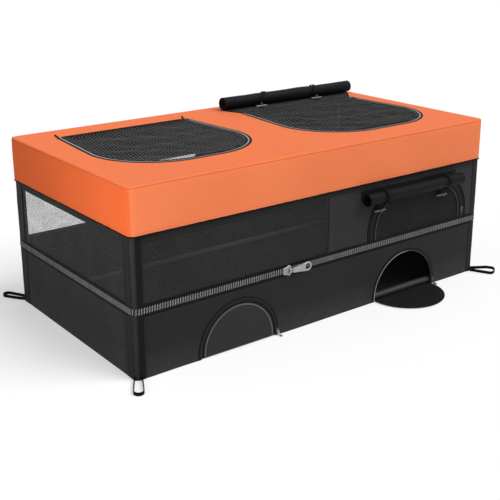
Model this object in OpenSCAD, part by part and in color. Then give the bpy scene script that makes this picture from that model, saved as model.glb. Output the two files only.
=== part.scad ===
/* [Overall] */
// Length over the roof skirt
box_l = 1000; // [900:10:1100]
// Width over the roof skirt
box_w = 526; // [470:2:600]
// Height to the top of the roof
box_h = 395; // [380:5:450]
// Height of the middle of the seam zip above the floor
zip_z = 144; // [138:1:156]
// Height of the roof skirt
skirt_h = 97; // [80:1:105]

/* [Fabric] */
// Thickness of the walls and mesh bindings
wall_t = 2; // [1.6:0.2:3]
// Thickness of the skirt, which stands out from the walls by as much
skirt_t = 3; // [2:0.5:4]
// Thickness of the roof panel
roof_t = 2; // [1.6:0.2:3]
// Thickness of the floor panel
floor_t = 1.5; // [1:0.1:2.5]
// Width of the corner sleeves along the long walls
sleeve_long_w = 24; // [19:1:32]
// Width of the corner sleeves along the short walls
sleeve_short_w = 38; // [28:1:44]
// Height of the band under the skirt
band_h = 17; // [12:1:22]
// How far the band runs up behind the skirt
band_lap = 12; // [8:1:20]
// How far the piping stands out from the walls
piping_out = 4; // [3:0.5:5]
// Height of the piping
piping_h = 2.4; // [1.6:0.2:4]
// Width of the strips over the middle seams
seam_w = 12; // [8:1:18]
// Thickness of those strips
seam_t = 0.8; // [0.6:0.1:1.2]
// How far the middle seams lie to the right of the middle
seam_x = 5; // [-10:1:10]

/* [Mesh] */
// Pitch of the net
mesh_pitch = 34; // [28:1:44]
// Width of the net's strands
mesh_strand = 3; // [2:0.5:4]
// Thickness of the net
mesh_t = 1.2; // [0.8:0.1:1.6]

/* [Frame] */
// Diameter of the frame tubes
tube_d = 16; // [13:0.5:19]
// Wall of the frame tubes
tube_wall = 1.2; // [0.8:0.1:2]
// Gap between the tubes and the fabric round them
frame_gap = 1; // [0.6:0.1:2]
// From a frame corner's middle to the ends of its tubes
joint_reach = 13; // [11:0.5:18]
// Length of the spigots inside the tubes
spigot_l = 25; // [15:1:40]

/* [Seam zip] */
// Height of each half of the chain
chain_h = 6; // [4:0.5:8]
// Thickness of the chain
chain_t = 5; // [3:0.2:5.4]
// Gap between the two halves
chain_gap = 1.2; // [1:0.1:2]
// Visible height of each tape
tape_h = 7; // [4:0.5:10]
// Thickness of the tapes
tape_t = 0.8; // [0.5:0.1:1.2]
// Place of the slider, from the middle of the front
slider_x = -121; // [-300:1:300]
// Length of the slider
slider_l = 21; // [16:1:26]
// Height of the slider
slider_h = 25; // [20:1:28]
// Thickness of the slider's plates
plate_t = 2.4; // [1.6:0.2:3]
// Thickness of the bar that holds the pull
bar_d = 3.2; // [2.4:0.2:4]
// Length of the pull, from its bar to its end
pull_l = 58; // [40:1:70]
// Width of the pull at its end
pull_w = 21; // [16:1:24]
// Width of the pull beside the slider
pull_neck_w = 11; // [9:0.5:14]
// Thickness of the pull
pull_t = 2; // [1.4:0.2:2.6]
// Diameter of the hole in the pull's end
pull_hole_d = 13; // [8:0.5:15]

/* [Pop doors] */
// From the middle of the front to the middle of each door
pop_x = 246; // [200:1:290]
// Radius of the holes' arches
pop_r = 97; // [80:1:104]
// Height of the straight legs below the arches
pop_leg = 8; // [6:0.5:12]
// Gap between a flap and its hole
pop_gap = 1; // [0.9:0.1:1.6]
// Width of the zip round each hole
pop_zip_w = 7; // [5:0.5:9]
// Thickness of that zip
pop_zip_t = 1.5; // [1:0.1:2]
// How far the facing pad stays inside the flap's edge
pad_inset = 10; // [6:0.5:16]
// Thickness of the facing pad
pad_t = 1.2; // [0.8:0.1:1.6]
// Length of the sliders on these zips
pop_slider_l = 12; // [9:0.5:16]
// Thickness of the small zip sliders' plates
clasp_t = 1.2; // [0.8:0.1:1.8]
// Length of their pull tabs
pop_tab_l = 12; // [8:0.5:16]

/* [Roof windows] */
// Left window to the left edge of the roof
left_window_side = 66; // [50:1:90]
// Left window to the middle of the roof
left_window_mid = 62; // [40:1:80]
// Left window to the front edge of the roof
left_window_front = 108; // [80:1:120]
// Left window to the back edge of the roof
left_window_back = 77; // [60:1:90]
// Right window to the right edge of the roof
right_window_side = 43; // [36:1:90]
// Right window to the middle of the roof
right_window_mid = 57; // [40:1:80]
// Right window to the front edge of the roof
right_window_front = 82; // [70:1:120]
// Right window to the back edge of the roof
right_window_back = 113; // [106:1:125]
// Radius of the windows' front corners
window_r = 150; // [110:1:160]
// How far each side draws in towards the back edge
window_draw = 16; // [0:1:20]
// Width of the zip round each window
roof_zip_w = 5; // [4:0.5:7]
// Height of that zip above the roof
roof_zip_up = 1; // [0.6:0.1:1.6]
// Gap between a mesh door and the zip
door_gap = 1; // [0.9:0.1:1.6]
// Width of the binding round each mesh door
rim_w = 9; // [7:0.5:12]
// Thickness of the bead that a mesh door turns on
hinge_d = 2.4; // [1.8:0.1:3]
// Length of the zip ends behind each window
tail_l = 14; // [8:1:18]
// Length of the sliders on these zips
roof_slider_l = 12; // [9:0.5:16]

/* [Front window] */
// From the middle seam to the window's tape
window_in = 113; // [90:1:130]
// From the right corner sleeve to the window's tape
window_out = 19; // [10:1:36]
// From the band to the top of the tape
window_top = 6; // [4:0.5:12]
// Radius of the tape's upper corners
arch_r = 100; // [70:1:105]
// Width of the tape
window_tape_w = 27; // [20:0.5:32]
// Thickness of the tape
window_tape_t = 1; // [0.8:0.1:1.4]
// Length of the slider on this zip
window_slider_l = 14; // [10:0.5:18]

/* [Shades and ties] */
// Radius of the rolled shades
roll_r = 16.5; // [13:0.5:18]
// Thickness of the shades' hems
hem_t = 1.2; // [0.8:0.1:1.6]
// Roof roll's axis to the back edge of the roof
roof_roll_back = 51; // [40:1:60]
// How far the roof roll runs past its window towards the middle
roof_roll_in = 3; // [0:1:20]
// How far it runs past its window towards the side
roof_roll_out = 30; // [10:1:34]
// How far the front roll runs past its window's tape towards the middle
front_roll_in = 22; // [0:1:40]
// How far the front roll stays short of the tape's far side
front_roll_short = 43; // [0:1:60]
// Roof roll's inner end to its first tie
roof_tie_in = 98; // [60:1:140]
// Roof roll's outer end to its second tie
roof_tie_out = 147; // [60:1:170]
// Front roll's ends to its ties
front_tie_inset = 54; // [40:1:80]
// Width of the ties
tie_w = 10; // [7:0.5:14]
// Thickness of the ties
tie_t = 1.4; // [1:0.1:2]
// From the roll's axis to the toggles on the roof
roof_toggle_u = 37; // [36:0.5:42]
// From the roll's axis to the toggles on the front
front_toggle_u = 36; // [36:0.5:42]
// Length of the toggles
toggle_l = 36; // [24:1:38]
// Diameter of the toggles
toggle_d = 7; // [5:0.5:9]
// Diameter of the cord through each toggle
cord_d = 3; // [2:0.2:3.6]

/* [Stake loops] */
// Length of the loops from their corner sleeve
loop_l = 64; // [48:1:76]
// Inside radius of the loops' ends
loop_r = 8; // [5:0.5:10]
// Thickness of the loops' webbing
loop_t = 2.4; // [1.6:0.2:3.2]
// Width of the webbing, which stands on edge
loop_w = 6; // [4:0.5:10]
// Angle of the loops to the front
loop_angle = 60; // [45:1:75]

/* [Hidden] */
$fn = 64;
// How far cuts pass through their faces
overrun = 1;
// Gap between pieces that rest on each other
seat_gap = 0.3;
// Gap round the pull's bar and the toggles' cords
run_gap = 0.1;
// Gap between the slider's plates and the chain, and between its web and each half
plate_gap = 0.4;
web_gap = 0.2;
// Gap between the tubes and their spigots
spigot_gap = 0.1;
// Sides in the order front, right, back, left, and the two ends of a run
SIDES = [0, 1, 2, 3];
ENDS = [-1, 1];
// Left and right
PAIR = [0, 1];

wall_l = box_l - 2 * skirt_t;
wall_w = box_w - 2 * skirt_t;
corner_r = wall_t + frame_gap + tube_d / 2;
post_x = wall_l / 2 - corner_r;
post_y = wall_w / 2 - corner_r;
rail_z = floor_t + seat_gap + tube_d / 2;
top_rail_z = box_h - roof_t - seat_gap - tube_d / 2;
lower_top = zip_z - chain_gap / 2 - chain_h;
upper_z = zip_z + chain_gap / 2 + chain_h;
skirt_z = box_h - skirt_h;
band_z = skirt_z - band_h;
upper_h = band_z - upper_z;

// Slider: its plates lie just clear of the chain on both sides
plate_out = chain_t / 2 + plate_gap;
web_t = chain_gap - 2 * web_gap;
web_share = 0.4;
plate_shares = [[-0.5, -0.3], [-0.5, 0.3], [-0.1, 0.36], [0.25, 0.5], [0.5, 0.34],
                [0.42, 0], [0.5, -0.34], [0.25, -0.5], [-0.1, -0.36]];
bar_share = 0.3;
bar_l = pull_neck_w - bar_d;
barrel_d = 2 * bar_d;
bar_out = plate_out + plate_t + barrel_d / 2 + seat_gap;
cheek_t = bar_d / 2;

// Pop doors: the flap lies inside the wall's thickness and turns on a bead along its lower edge
flap_t = wall_t - 2 * seat_gap;
bead_d = wall_t - 2 * web_gap;
flap_r = pop_r - pop_gap;
flap_z = seat_gap + pad_t + flap_t / 2;
flap_y = -wall_w / 2 + wall_t / 2;
pop_web_t = pop_gap / 2;
pop_places = [-pop_x, pop_x];

// Roof windows, left and right
window_w = [box_l / 2 - left_window_side - left_window_mid,
            box_l / 2 - right_window_side - right_window_mid];
window_x = [-box_l / 2 + left_window_side + window_w[0] / 2,
            box_l / 2 - right_window_side - window_w[1] / 2];
window_y = [box_w / 2 - left_window_back, box_w / 2 - right_window_back];
window_d = [box_w - left_window_front - left_window_back,
            box_w - right_window_front - right_window_back];
rim_up = 2 * seat_gap;
rim_t = roof_t - seat_gap + rim_up;
hinge_in = hinge_d / 2 + door_gap / 2;
roof_web_t = door_gap / 2;
corner_fit = [for (i = PAIR) min(window_r, window_w[i] / 2 - roof_zip_w, window_d[i] - tail_l)];
tail_fit = [tail_l, 0];

// Front window
front_window_w = wall_l / 2 - sleeve_long_w - window_out - seam_x - window_in;
front_window_x = seam_x + window_in + front_window_w / 2;
front_window_z = upper_z + tape_h;
front_window_h = band_z - window_top - front_window_z;
hole_inset = window_tape_w / 2;
arch_fit = min(arch_r, front_window_h - window_slider_l, front_window_w / 2);
window_slider_w_share = 0.66;
window_tab_w_share = 0.33;

// Shades, each in a frame that lies on its surface: x along the roll, -y to the toggles, z outwards
roll_sink = seat_gap;
roll_up = hem_t + roll_r - roll_sink;
roof_roll_y = box_w / 2 - roof_roll_back;
front_roll_z = band_z - roll_r;
roof_roll_x = [window_x[1] - window_w[1] / 2 - roof_roll_in, window_x[1] + window_w[1] / 2 + roof_roll_out];
front_roll_x = [front_window_x - front_window_w / 2 - front_roll_in,
                front_window_x + front_window_w / 2 - front_roll_short];
roof_ties_x = [roof_roll_x[0] + roof_tie_in, roof_roll_x[1] - roof_tie_out];
front_ties_x = [front_roll_x[0] + front_tie_inset, front_roll_x[1] - front_tie_inset];
roof_hem = [roof_roll_y - window_y[1] - seat_gap, roll_r];
front_hem = [roll_r, roll_r];
tie_r = roll_r + seat_gap;
toggle_up = hem_t + tie_t + seat_gap + toggle_d / 2;
knot_d = 2 * cord_d;
toggle_end_share = 0.6;
toggle_taper_share = 0.16;

function side_l(side) = side % 2 == 0 ? wall_l : wall_w;
function side_d(side) = side % 2 == 0 ? wall_w : wall_l;
function sleeve_w(side) = side % 2 == 0 ? sleeve_long_w : sleeve_short_w;

// Plan shapes

module rounded_rect(l, w, r) {
    square([l - 2 * r, w], center = true);
    square([l, w - 2 * r], center = true);
    for (sx = ENDS, sy = ENDS) translate([sx * (l / 2 - r), sy * (w / 2 - r)]) circle(r);
}

// A ring round the walls, whose outer face lies out outside the walls' faces
module ring_plan(out, t) {
    difference() {
        rounded_rect(wall_l + 2 * out, wall_w + 2 * out, corner_r + out);
        rounded_rect(wall_l + 2 * (out - t), wall_w + 2 * (out - t), corner_r + out - t);
    }
}

// The quarter of the plan that belongs to one side, cut at the corners' middles
module side_plan(side) {
    l = side_l(side) / 2 + overrun + skirt_t;
    d = side_d(side) / 2 + overrun + skirt_t;
    reach = min(l, d);
    rotate(side * 90) polygon([[-l, -d], [l, -d], [l - reach, reach - d], [reach - l, reach - d]]);
}

module corner_plan() {
    for (sx = ENDS, sy = ENDS)
        translate([sx * (wall_l - sleeve_long_w + overrun) / 2, sy * (wall_w - sleeve_short_w + overrun) / 2])
            square([sleeve_long_w + overrun, sleeve_short_w + overrun], center = true);
}

// Straight edge on the x axis, drawn wider up to the round corners of its far end
module d_plan(edge_w, w, depth, r) {
    polygon([[-edge_w / 2, 0], [edge_w / 2, 0], [w / 2, depth - r], [-w / 2, depth - r]]);
    translate([r - w / 2, depth - r]) square([w - 2 * r, r]);
    for (s = ENDS) intersection() {
        translate([s * (w / 2 - r), depth - r]) circle(r);
        translate([-w / 2, depth - r]) square([w, r]);
    }
}

// Half round on two straight legs that start on the x axis
module arch_plan(r, leg) {
    translate([-r, 0]) square([2 * r, leg]);
    intersection() {
        translate([0, leg]) circle(r);
        translate([-r, leg]) square([2 * r, r]);
    }
}

// Strands both ways over a field that starts at the origin's left and runs up
module strands(l, d) {
    nx = max(1, round(l / mesh_pitch));
    ny = max(1, round(d / mesh_pitch));
    for (i = [1:nx - 1]) translate([i * l / nx - (l + mesh_strand) / 2, 0]) square([mesh_strand, d]);
    for (j = [1:ny - 1]) translate([-l / 2, j * d / ny - mesh_strand / 2]) square([l, mesh_strand]);
}

// A net in an outline: the first child is the outline, the second the same without its rim
module net_plan(l, d) {
    difference() {
        children(0);
        children(1);
    }
    intersection() {
        children(0);
        strands(l, d);
    }
}

module rect_net(l, h) {
    net_plan(l, h) {
        translate([-l / 2, 0]) square([l, h]);
        translate([mesh_strand - l / 2, mesh_strand]) square([l - 2 * mesh_strand, h - 2 * mesh_strand]);
    }
}

// Frames of reference

// On a wall: x to the right as seen from outside, y inwards from the outer face, z up
module on_side(side) {
    rotate(side * 90) translate([0, -side_d(side) / 2, 0]) children();
}

// Stands a plan shape up on a wall's frame, from depth y0 inwards
module upright(y0, t) {
    translate([0, y0 + t, 0]) rotate([90, 0, 0]) linear_extrude(t) children();
}

// On a roof window: origin at the middle of its straight edge, y to the front
module on_window(i) {
    translate([window_x[i], window_y[i], 0]) rotate(180) children();
}

module on_roof_shade() {
    translate([0, roof_roll_y, box_h]) children();
}

module on_front_shade() {
    translate([0, -wall_w / 2 - window_tape_t, front_roll_z]) rotate([90, 0, 0]) children();
}

// Tube frame

module tube(l) {
    difference() {
        cylinder(d = tube_d, h = l, center = true);
        cylinder(d = tube_d - 2 * tube_wall, h = l + 2 * overrun, center = true);
    }
}

module corner_posts() {
    color("dimgray") for (sx = ENDS, sy = ENDS)
        translate([sx * post_x, sy * post_y, (rail_z + top_rail_z) / 2])
            tube(top_rail_z - rail_z - 2 * joint_reach);
}

module rails_long(z) {
    color("dimgray") for (s = ENDS)
        translate([0, s * post_y, z]) rotate([0, 90, 0]) tube(2 * (post_x - joint_reach));
}

module rails_short(z) {
    color("dimgray") for (s = ENDS)
        translate([s * post_x, 0, z]) rotate([90, 0, 0]) tube(2 * (post_y - joint_reach));
}

// One arm of a corner joint: a collar up to the tube's end and a spigot inside it
module joint_arm() {
    cylinder(d = tube_d - 2 * spigot_gap, h = joint_reach);
    cylinder(d = tube_d - 2 * tube_wall - 2 * spigot_gap, h = joint_reach + spigot_l);
}

// Three-way joints, whose third arm points up or down along sz
module corner_joints(z, sz) {
    color("darkslategray") for (sx = ENDS, sy = ENDS) translate([sx * post_x, sy * post_y, z]) {
        sphere(d = tube_d + seat_gap);
        rotate([0, -90 * sx, 0]) joint_arm();
        rotate([90 * sy, 0, 0]) joint_arm();
        rotate([90 - 90 * sz, 0, 0]) joint_arm();
    }
}

// Lower half

module floor_panel() {
    color("black") linear_extrude(floor_t)
        rounded_rect(wall_l - 2 * wall_t, wall_w - 2 * wall_t, corner_r - wall_t);
}

// A flat panel on one side between two heights, less the widths left free at its ends
module flat_panel(side, z, h, left, right) {
    l = side_l(side) - left - right;
    on_side(side) translate([left - side_l(side) / 2, 0, z]) cube([l, wall_t, h]);
}

module lower_wall(side) {
    color("black") flat_panel(side, 0, lower_top, sleeve_w(side), sleeve_w(side));
}

module lower_wall_front() {
    color("black") difference() {
        lower_wall(0);
        on_side(0) for (x = pop_places) translate([x, 0, -overrun])
            upright(-overrun, wall_t + 2 * overrun) arch_plan(pop_r, pop_leg + overrun);
    }
}

module corner_sleeves(z, h) {
    color("black") translate([0, 0, z]) linear_extrude(h) intersection() {
        ring_plan(0, wall_t);
        corner_plan();
    }
}

module zip_tape(z) {
    color("black") translate([0, 0, z]) linear_extrude(tape_h) ring_plan(tape_t, tape_t);
}

module zip_chain(z) {
    color("gray") translate([0, 0, z]) linear_extrude(chain_h) ring_plan(chain_t / 2, chain_t);
}

// A drop-shaped plan: round end of radius r at distance l from its point on the y axis
module drop_plan(r, l) {
    a = acos(r / l);
    polygon([[0, 0], [l - r * cos(a), r * sin(a)], [l - r * cos(a), -r * sin(a)]]);
    translate([l, 0]) circle(r);
}

module stake_loops() {
    eye_x = corner_r + loop_l - loop_r - loop_t;
    inner_share = loop_r / (loop_r + loop_t);
    color("black") for (sx = ENDS, sy = ENDS)
        translate([sx * post_x, sy * post_y, 0]) mirror([sx < 0 ? 1 : 0, 0, 0]) mirror([0, sy < 0 ? 1 : 0, 0])
            rotate(loop_angle) linear_extrude(loop_w) difference() {
                drop_plan(loop_r + loop_t, eye_x);
                translate([eye_x - eye_x * inner_share, 0]) drop_plan(loop_r, eye_x * inner_share);
                circle(corner_r + seat_gap);
            }
}

// Pop doors

// The flap with its facing pad and the bead that it turns on, in the wall's frame and closed
module closed_flap() {
    upright((wall_t - flap_t) / 2, flap_t) difference() {
        arch_plan(flap_r, pop_leg);
        translate([-pop_r, 0]) square([2 * pop_r, flap_z]);
    }
    upright((wall_t - flap_t) / 2 - pad_t, pad_t) difference() {
        arch_plan(flap_r - pad_inset, pop_leg);
        translate([-pop_r, 0]) square([2 * pop_r, flap_z + bead_d]);
    }
    translate([0, wall_t / 2, flap_z]) rotate([0, 90, 0]) cylinder(d = bead_d, h = 2 * flap_r, center = true);
}

module pop_flap_left() {
    color("black") translate([pop_places[0], 0, 0]) on_side(0) closed_flap();
}

// Let down on the ground in front of the hole
module pop_flap_right() {
    color("black") translate([pop_places[1], flap_y, flap_z]) rotate([90, 0, 0])
        translate([0, -flap_y, -flap_z]) on_side(0) closed_flap();
}

module pop_zip(i) {
    color("black") translate([pop_places[i], 0, 0]) on_side(0) upright(-pop_zip_t, pop_zip_t) difference() {
        arch_plan(pop_r + pop_zip_w, pop_leg);
        translate([0, -overrun]) arch_plan(pop_r, pop_leg + overrun);
    }
}

// Rides on the zip's strip, with a web in the gap beside the flap, and turns about the arch's middle
module pop_slider(i) {
    inner_r = pop_r - pop_gap / 2 - pop_web_t / 2;
    plate_y = pop_zip_t + seat_gap;
    color("silver") translate([pop_places[i], 0, pop_leg]) on_side(0) {
        upright(-plate_y - clasp_t, clasp_t) {
            intersection() {
                difference() {
                    circle(pop_r + pop_zip_w + pop_gap);
                    circle(inner_r);
                }
                square_on_x(pop_slider_l);
            }
            translate([pop_r + pop_zip_w, (pop_slider_l - pop_tab_l / 2) / 4])
                square([pop_tab_l, pop_tab_l / 2]);
        }
        upright(-plate_y, plate_y + wall_t) intersection() {
            difference() {
                circle(inner_r + pop_web_t);
                circle(inner_r);
            }
            square_on_x(pop_slider_l);
        }
    }
}

// A strip along +x whose lower edge lies a quarter of its width below the axis
module square_on_x(w) {
    translate([0, -w / 4]) square([2 * pop_r, w]);
}

// Seam zip's slider and pull

module plate_plan() {
    polygon([for (p = plate_shares) [p[0] * slider_l, p[1] * slider_h]]);
}

module zip_slider() {
    color("silver") translate([slider_x, 0, zip_z]) on_side(0) {
        upright(-plate_out - plate_t, plate_t) plate_plan();
        upright(plate_out, plate_t) plate_plan();
        cube([web_share * slider_l, 2 * plate_out + plate_t, web_t], center = true);
        translate([bar_share * slider_l, 0, 0]) {
            translate([0, -bar_out, 0]) cylinder(d = bar_d, h = bar_l + cheek_t, center = true);
            for (s = ENDS) translate([0, -(bar_out + plate_out + plate_t) / 2, s * (bar_l + cheek_t) / 2])
                cube([bar_d, bar_out - plate_out, cheek_t], center = true);
        }
    }
}

module zip_pull() {
    end_x = pull_l - pull_w / 2;
    bar_x = slider_x + bar_share * slider_l;
    color("silver") translate([bar_x, 0, zip_z]) on_side(0) translate([0, -bar_out, 0])
        difference() {
            union() {
                cylinder(d = barrel_d, h = bar_l - 2 * seat_gap, center = true);
                upright(-pull_t / 2, pull_t) {
                    translate([0, -bar_l / 2 + seat_gap]) square([barrel_d, bar_l - 2 * seat_gap]);
                    polygon([[barrel_d, -pull_neck_w / 2], [end_x, -pull_w / 2], [end_x, pull_w / 2],
                             [barrel_d, pull_neck_w / 2]]);
                    translate([end_x, 0]) circle(d = pull_w);
                }
            }
            cylinder(d = bar_d + run_gap, h = bar_l + overrun, center = true);
            upright(-pull_t, 2 * pull_t) translate([end_x, 0]) circle(d = pull_hole_d);
        }
}

// Cover

module roof_panel() {
    color("coral") translate([0, 0, box_h - roof_t]) linear_extrude(roof_t) difference() {
        rounded_rect(box_l, box_w, corner_r + skirt_t);
        for (i = PAIR) on_window(i) window_plan(i, 0, 0);
    }
}

// A window's outline, drawn in by inset at its sides and front, and by back at its straight edge
module window_plan(i, inset, back) {
    translate([0, back]) d_plan(window_w[i] - 2 * window_draw - 2 * inset, window_w[i] - 2 * inset,
                                window_d[i] - inset - back, corner_fit[i] - inset);
}

module skirt(side) {
    color("coral") translate([0, 0, skirt_z]) linear_extrude(skirt_h - roof_t) intersection() {
        ring_plan(skirt_t, skirt_t);
        side_plan(side);
    }
}

module skirt_piping() {
    color("black") translate([0, 0, skirt_z - piping_h]) linear_extrude(piping_h)
        ring_plan(piping_out, piping_out);
}

module upper_band() {
    color("black") for (side = SIDES)
        flat_panel(side, band_z, band_h + band_lap, sleeve_w(side), sleeve_w(side));
}

// A net that fills a flat panel's place, in the middle of the wall's thickness
module net_panel(side, left, right) {
    l = side_l(side) - left - right;
    color("dimgray") on_side(side) translate([(left - right) / 2, 0, upper_z])
        upright((wall_t - mesh_t) / 2, mesh_t) rect_net(l, upper_h);
}

module upper_panel(side, left, right) {
    color("black") flat_panel(side, upper_z, upper_h, left, right);
}

module upper_panel_front() {
    color("black") difference() {
        upper_panel(0, wall_l / 2 + seam_x, sleeve_w(0));
        on_front_window() upright(-overrun, wall_t + 2 * overrun) front_window_plan(hole_inset);
    }
}

module on_front_window() {
    on_side(0) translate([front_window_x, 0, front_window_z]) children();
}

// The front window's outline, drawn in by inset at its sides and top, and by up at its lower edge
module front_window_plan(inset, up = 0) {
    w = front_window_w - 2 * inset;
    translate([0, up]) d_plan(w, w, front_window_h - inset - up, arch_fit - inset);
}

module seam_strips() {
    for (side = [0, 2]) color("black") on_side(side)
        translate([(side == 0 ? seam_x : -seam_x) - seam_w / 2, -seam_t, upper_z + tape_h])
            cube([seam_w, seam_t, upper_h - tape_h]);
}

module window_mesh() {
    color("dimgray") on_front_window() upright((wall_t - mesh_t) / 2, mesh_t)
        net_plan(front_window_w - 2 * hole_inset, front_window_h - hole_inset) {
            front_window_plan(hole_inset);
            front_window_plan(hole_inset + mesh_strand, mesh_strand);
        }
}

module window_zip() {
    color("black") on_front_window() upright(-window_tape_t, window_tape_t) difference() {
        front_window_plan(0);
        front_window_plan(window_tape_w, -overrun);
    }
}

// Clasps the tape's right leg where its arch begins, with a tab hanging from it
module window_slider() {
    w = window_slider_w_share * window_slider_l;
    tab_w = window_tab_w_share * window_slider_l;
    color("black") on_front_window()
        translate([front_window_w / 2 - hole_inset, 0, front_window_h - arch_fit])
            upright(-window_tape_t - clasp_t - seat_gap, clasp_t) {
                square([w, window_slider_l], center = true);
                translate([0, -window_slider_l / 2]) square([tab_w, window_slider_l], center = true);
            }
}

// Shades, ties and toggles

// A rolled shade and the hem that it is sewn to; hem gives the hem's reach before and behind the roll
module shade(x, hem) {
    color("black") {
        translate([x[0], -hem[0], 0]) cube([x[1] - x[0], hem[0] + hem[1], hem_t]);
        translate([x[0], 0, roll_up]) rotate([0, 90, 0]) cylinder(r = roll_r, h = x[1] - x[0]);
    }
}

// A strap over the roll with a tongue to the toggle, and the knotted cord that the toggle turns on
module tie(u) {
    start = sqrt(pow(tie_r + tie_t, 2) - pow(roll_up - hem_t, 2));
    top = toggle_up + toggle_d / 2 + seat_gap;
    color("black") {
        translate([0, 0, hem_t]) rotate([90, 0, -90]) linear_extrude(tie_w, center = true) {
            intersection() {
                translate([0, roll_up - hem_t]) difference() {
                    circle(tie_r + tie_t);
                    circle(tie_r);
                }
                translate([-2 * roll_r, 0]) square([4 * roll_r, 4 * roll_r]);
            }
            translate([start - tie_t / 2, 0]) square([u - start + tie_w / 2, tie_t]);
        }
        translate([0, -u, hem_t]) cylinder(d = cord_d, h = top + knot_d / 2 - hem_t);
        translate([0, -u, top + knot_d / 2]) sphere(d = knot_d);
    }
}

module toggle(u) {
    end_r = toggle_end_share * toggle_d / 2;
    taper = toggle_taper_share * toggle_l;
    color("dimgray") translate([0, -u, toggle_up]) difference() {
        rotate([0, 90, 0]) rotate_extrude() polygon([
            [0, -toggle_l / 2], [end_r, -toggle_l / 2], [toggle_d / 2, taper - toggle_l / 2],
            [toggle_d / 2, toggle_l / 2 - taper], [end_r, toggle_l / 2], [0, toggle_l / 2]]);
        cylinder(d = cord_d + run_gap, h = 2 * toggle_d, center = true);
    }
}

module window_shade() {
    on_front_shade() shade(front_roll_x, front_hem);
}

module roof_shade() {
    on_roof_shade() shade(roof_roll_x, roof_hem);
}

module window_ties() {
    for (x = front_ties_x) on_front_shade() translate([x, 0, 0]) tie(front_toggle_u);
}

module roof_ties() {
    for (x = roof_ties_x) on_roof_shade() translate([x, 0, 0]) tie(roof_toggle_u);
}

module window_toggle(i) {
    on_front_shade() translate([front_ties_x[i], 0, 0]) toggle(front_toggle_u);
}

module roof_toggle(i) {
    on_roof_shade() translate([roof_ties_x[i], 0, 0]) toggle(roof_toggle_u);
}

// Roof doors

// The outline of a mesh door inside its zip
module door_plan(i, inset, back) {
    window_plan(i, roof_zip_w + door_gap + inset, hinge_in + back);
}

// The binding round a mesh door, with the bead at its straight edge that it turns on
module roof_rim(i) {
    edge_w = window_w[i] - 2 * window_draw - 2 * (roof_zip_w + door_gap);
    color("black") {
        translate([0, 0, box_h + rim_up - rim_t]) linear_extrude(rim_t) on_window(i) difference() {
            door_plan(i, 0, 0);
            door_plan(i, rim_w, rim_w);
        }
        on_window(i) translate([0, hinge_in, box_h + rim_up]) rotate([0, 90, 0])
            cylinder(d = hinge_d, h = edge_w, center = true);
    }
}

module roof_mesh(i) {
    color("dimgray") translate([0, 0, box_h - roof_t / 2 - mesh_t / 2]) linear_extrude(mesh_t) on_window(i)
        translate([0, hinge_in + rim_w]) net_plan(window_w[i], window_d[i]) {
            translate([0, -hinge_in - rim_w]) door_plan(i, rim_w, rim_w);
            translate([0, -hinge_in - rim_w]) door_plan(i, rim_w + mesh_strand, rim_w + mesh_strand);
        }
}

// The zip round a roof window, with its ends laid on the roof behind the straight edge
module roof_zip(i) {
    tail_x = window_w[i] / 2 - window_draw - roof_zip_w / 2;
    color("black") {
        translate([0, 0, box_h - roof_t]) linear_extrude(roof_t + roof_zip_up) on_window(i) difference() {
            window_plan(i, 0, 0);
            window_plan(i, roof_zip_w, -overrun);
        }
        on_window(i) for (s = ENDS) translate([s * tail_x - roof_zip_w / 2, -tail_fit[i], box_h])
            cube([roof_zip_w, tail_fit[i] + roof_zip_up, roof_zip_up]);
    }
}

// Sits over the zip's right side with a web in the gap beside the mesh door
module roof_slider(i) {
    lean = atan(window_draw / (window_d[i] - corner_fit[i]));
    web_x = roof_zip_w + door_gap / 2 - roof_web_t / 2;
    color("black") on_window(i) translate([window_draw - window_w[i] / 2, 0, box_h]) rotate(lean)
        translate([0, roof_slider_l, 0]) {
            translate([0, 0, roof_zip_up + seat_gap]) cube([web_x + roof_web_t, roof_slider_l, clasp_t]);
            translate([web_x, 0, -roof_t])
                cube([roof_web_t, roof_slider_l, roof_t + roof_zip_up + seat_gap + clasp_t]);
        }
}

corner_posts();
rails_long(rail_z);  // bottom_rails_long
rails_short(rail_z);  // bottom_rails_short
rails_long(top_rail_z);  // top_rails_long
rails_short(top_rail_z);  // top_rails_short
corner_joints(rail_z, 1);  // bottom_corner_joints
corner_joints(top_rail_z, -1);  // top_corner_joints
floor_panel();
lower_wall_front();
lower_wall(1);  // lower_wall_right
lower_wall(2);  // lower_wall_back
lower_wall(3);  // lower_wall_left
corner_sleeves(0, lower_top);  // lower_corner_sleeves
zip_tape(lower_top - tape_h);  // lower_zip_tape
zip_chain(lower_top);  // lower_zip_chain
stake_loops();
pop_flap_left();
pop_flap_right();
pop_zip(0);  // pop_zip_left
pop_zip(1);  // pop_zip_right
pop_slider(0);  // pop_slider_left
pop_slider(1);  // pop_slider_right
zip_slider();
zip_pull();
roof_panel();
skirt(0);  // skirt_front
skirt(1);  // skirt_right
skirt(2);  // skirt_back
skirt(3);  // skirt_left
skirt_piping();
upper_band();
corner_sleeves(upper_z, upper_h + band_h + band_lap);  // upper_corner_sleeves
net_panel(3, sleeve_w(3), sleeve_w(3));  // mesh_left
net_panel(0, sleeve_w(0), wall_l / 2 - seam_x);  // mesh_front
net_panel(2, wall_l / 2 - seam_x, sleeve_w(2));  // mesh_back
upper_panel(1, sleeve_w(1), sleeve_w(1));  // upper_panel_right
upper_panel_front();
upper_panel(2, sleeve_w(2), wall_l / 2 + seam_x);  // upper_panel_back
seam_strips();
zip_tape(upper_z);  // upper_zip_tape
zip_chain(upper_z - chain_h);  // upper_zip_chain
window_mesh();
window_zip();
window_slider();
window_shade();
roof_shade();
window_ties();
roof_ties();
window_toggle(0);  // toggle_window_left
window_toggle(1);  // toggle_window_right
roof_toggle(0);  // toggle_roof_left
roof_toggle(1);  // toggle_roof_right
roof_rim(0);  // roof_rim_left
roof_rim(1);  // roof_rim_right
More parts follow.
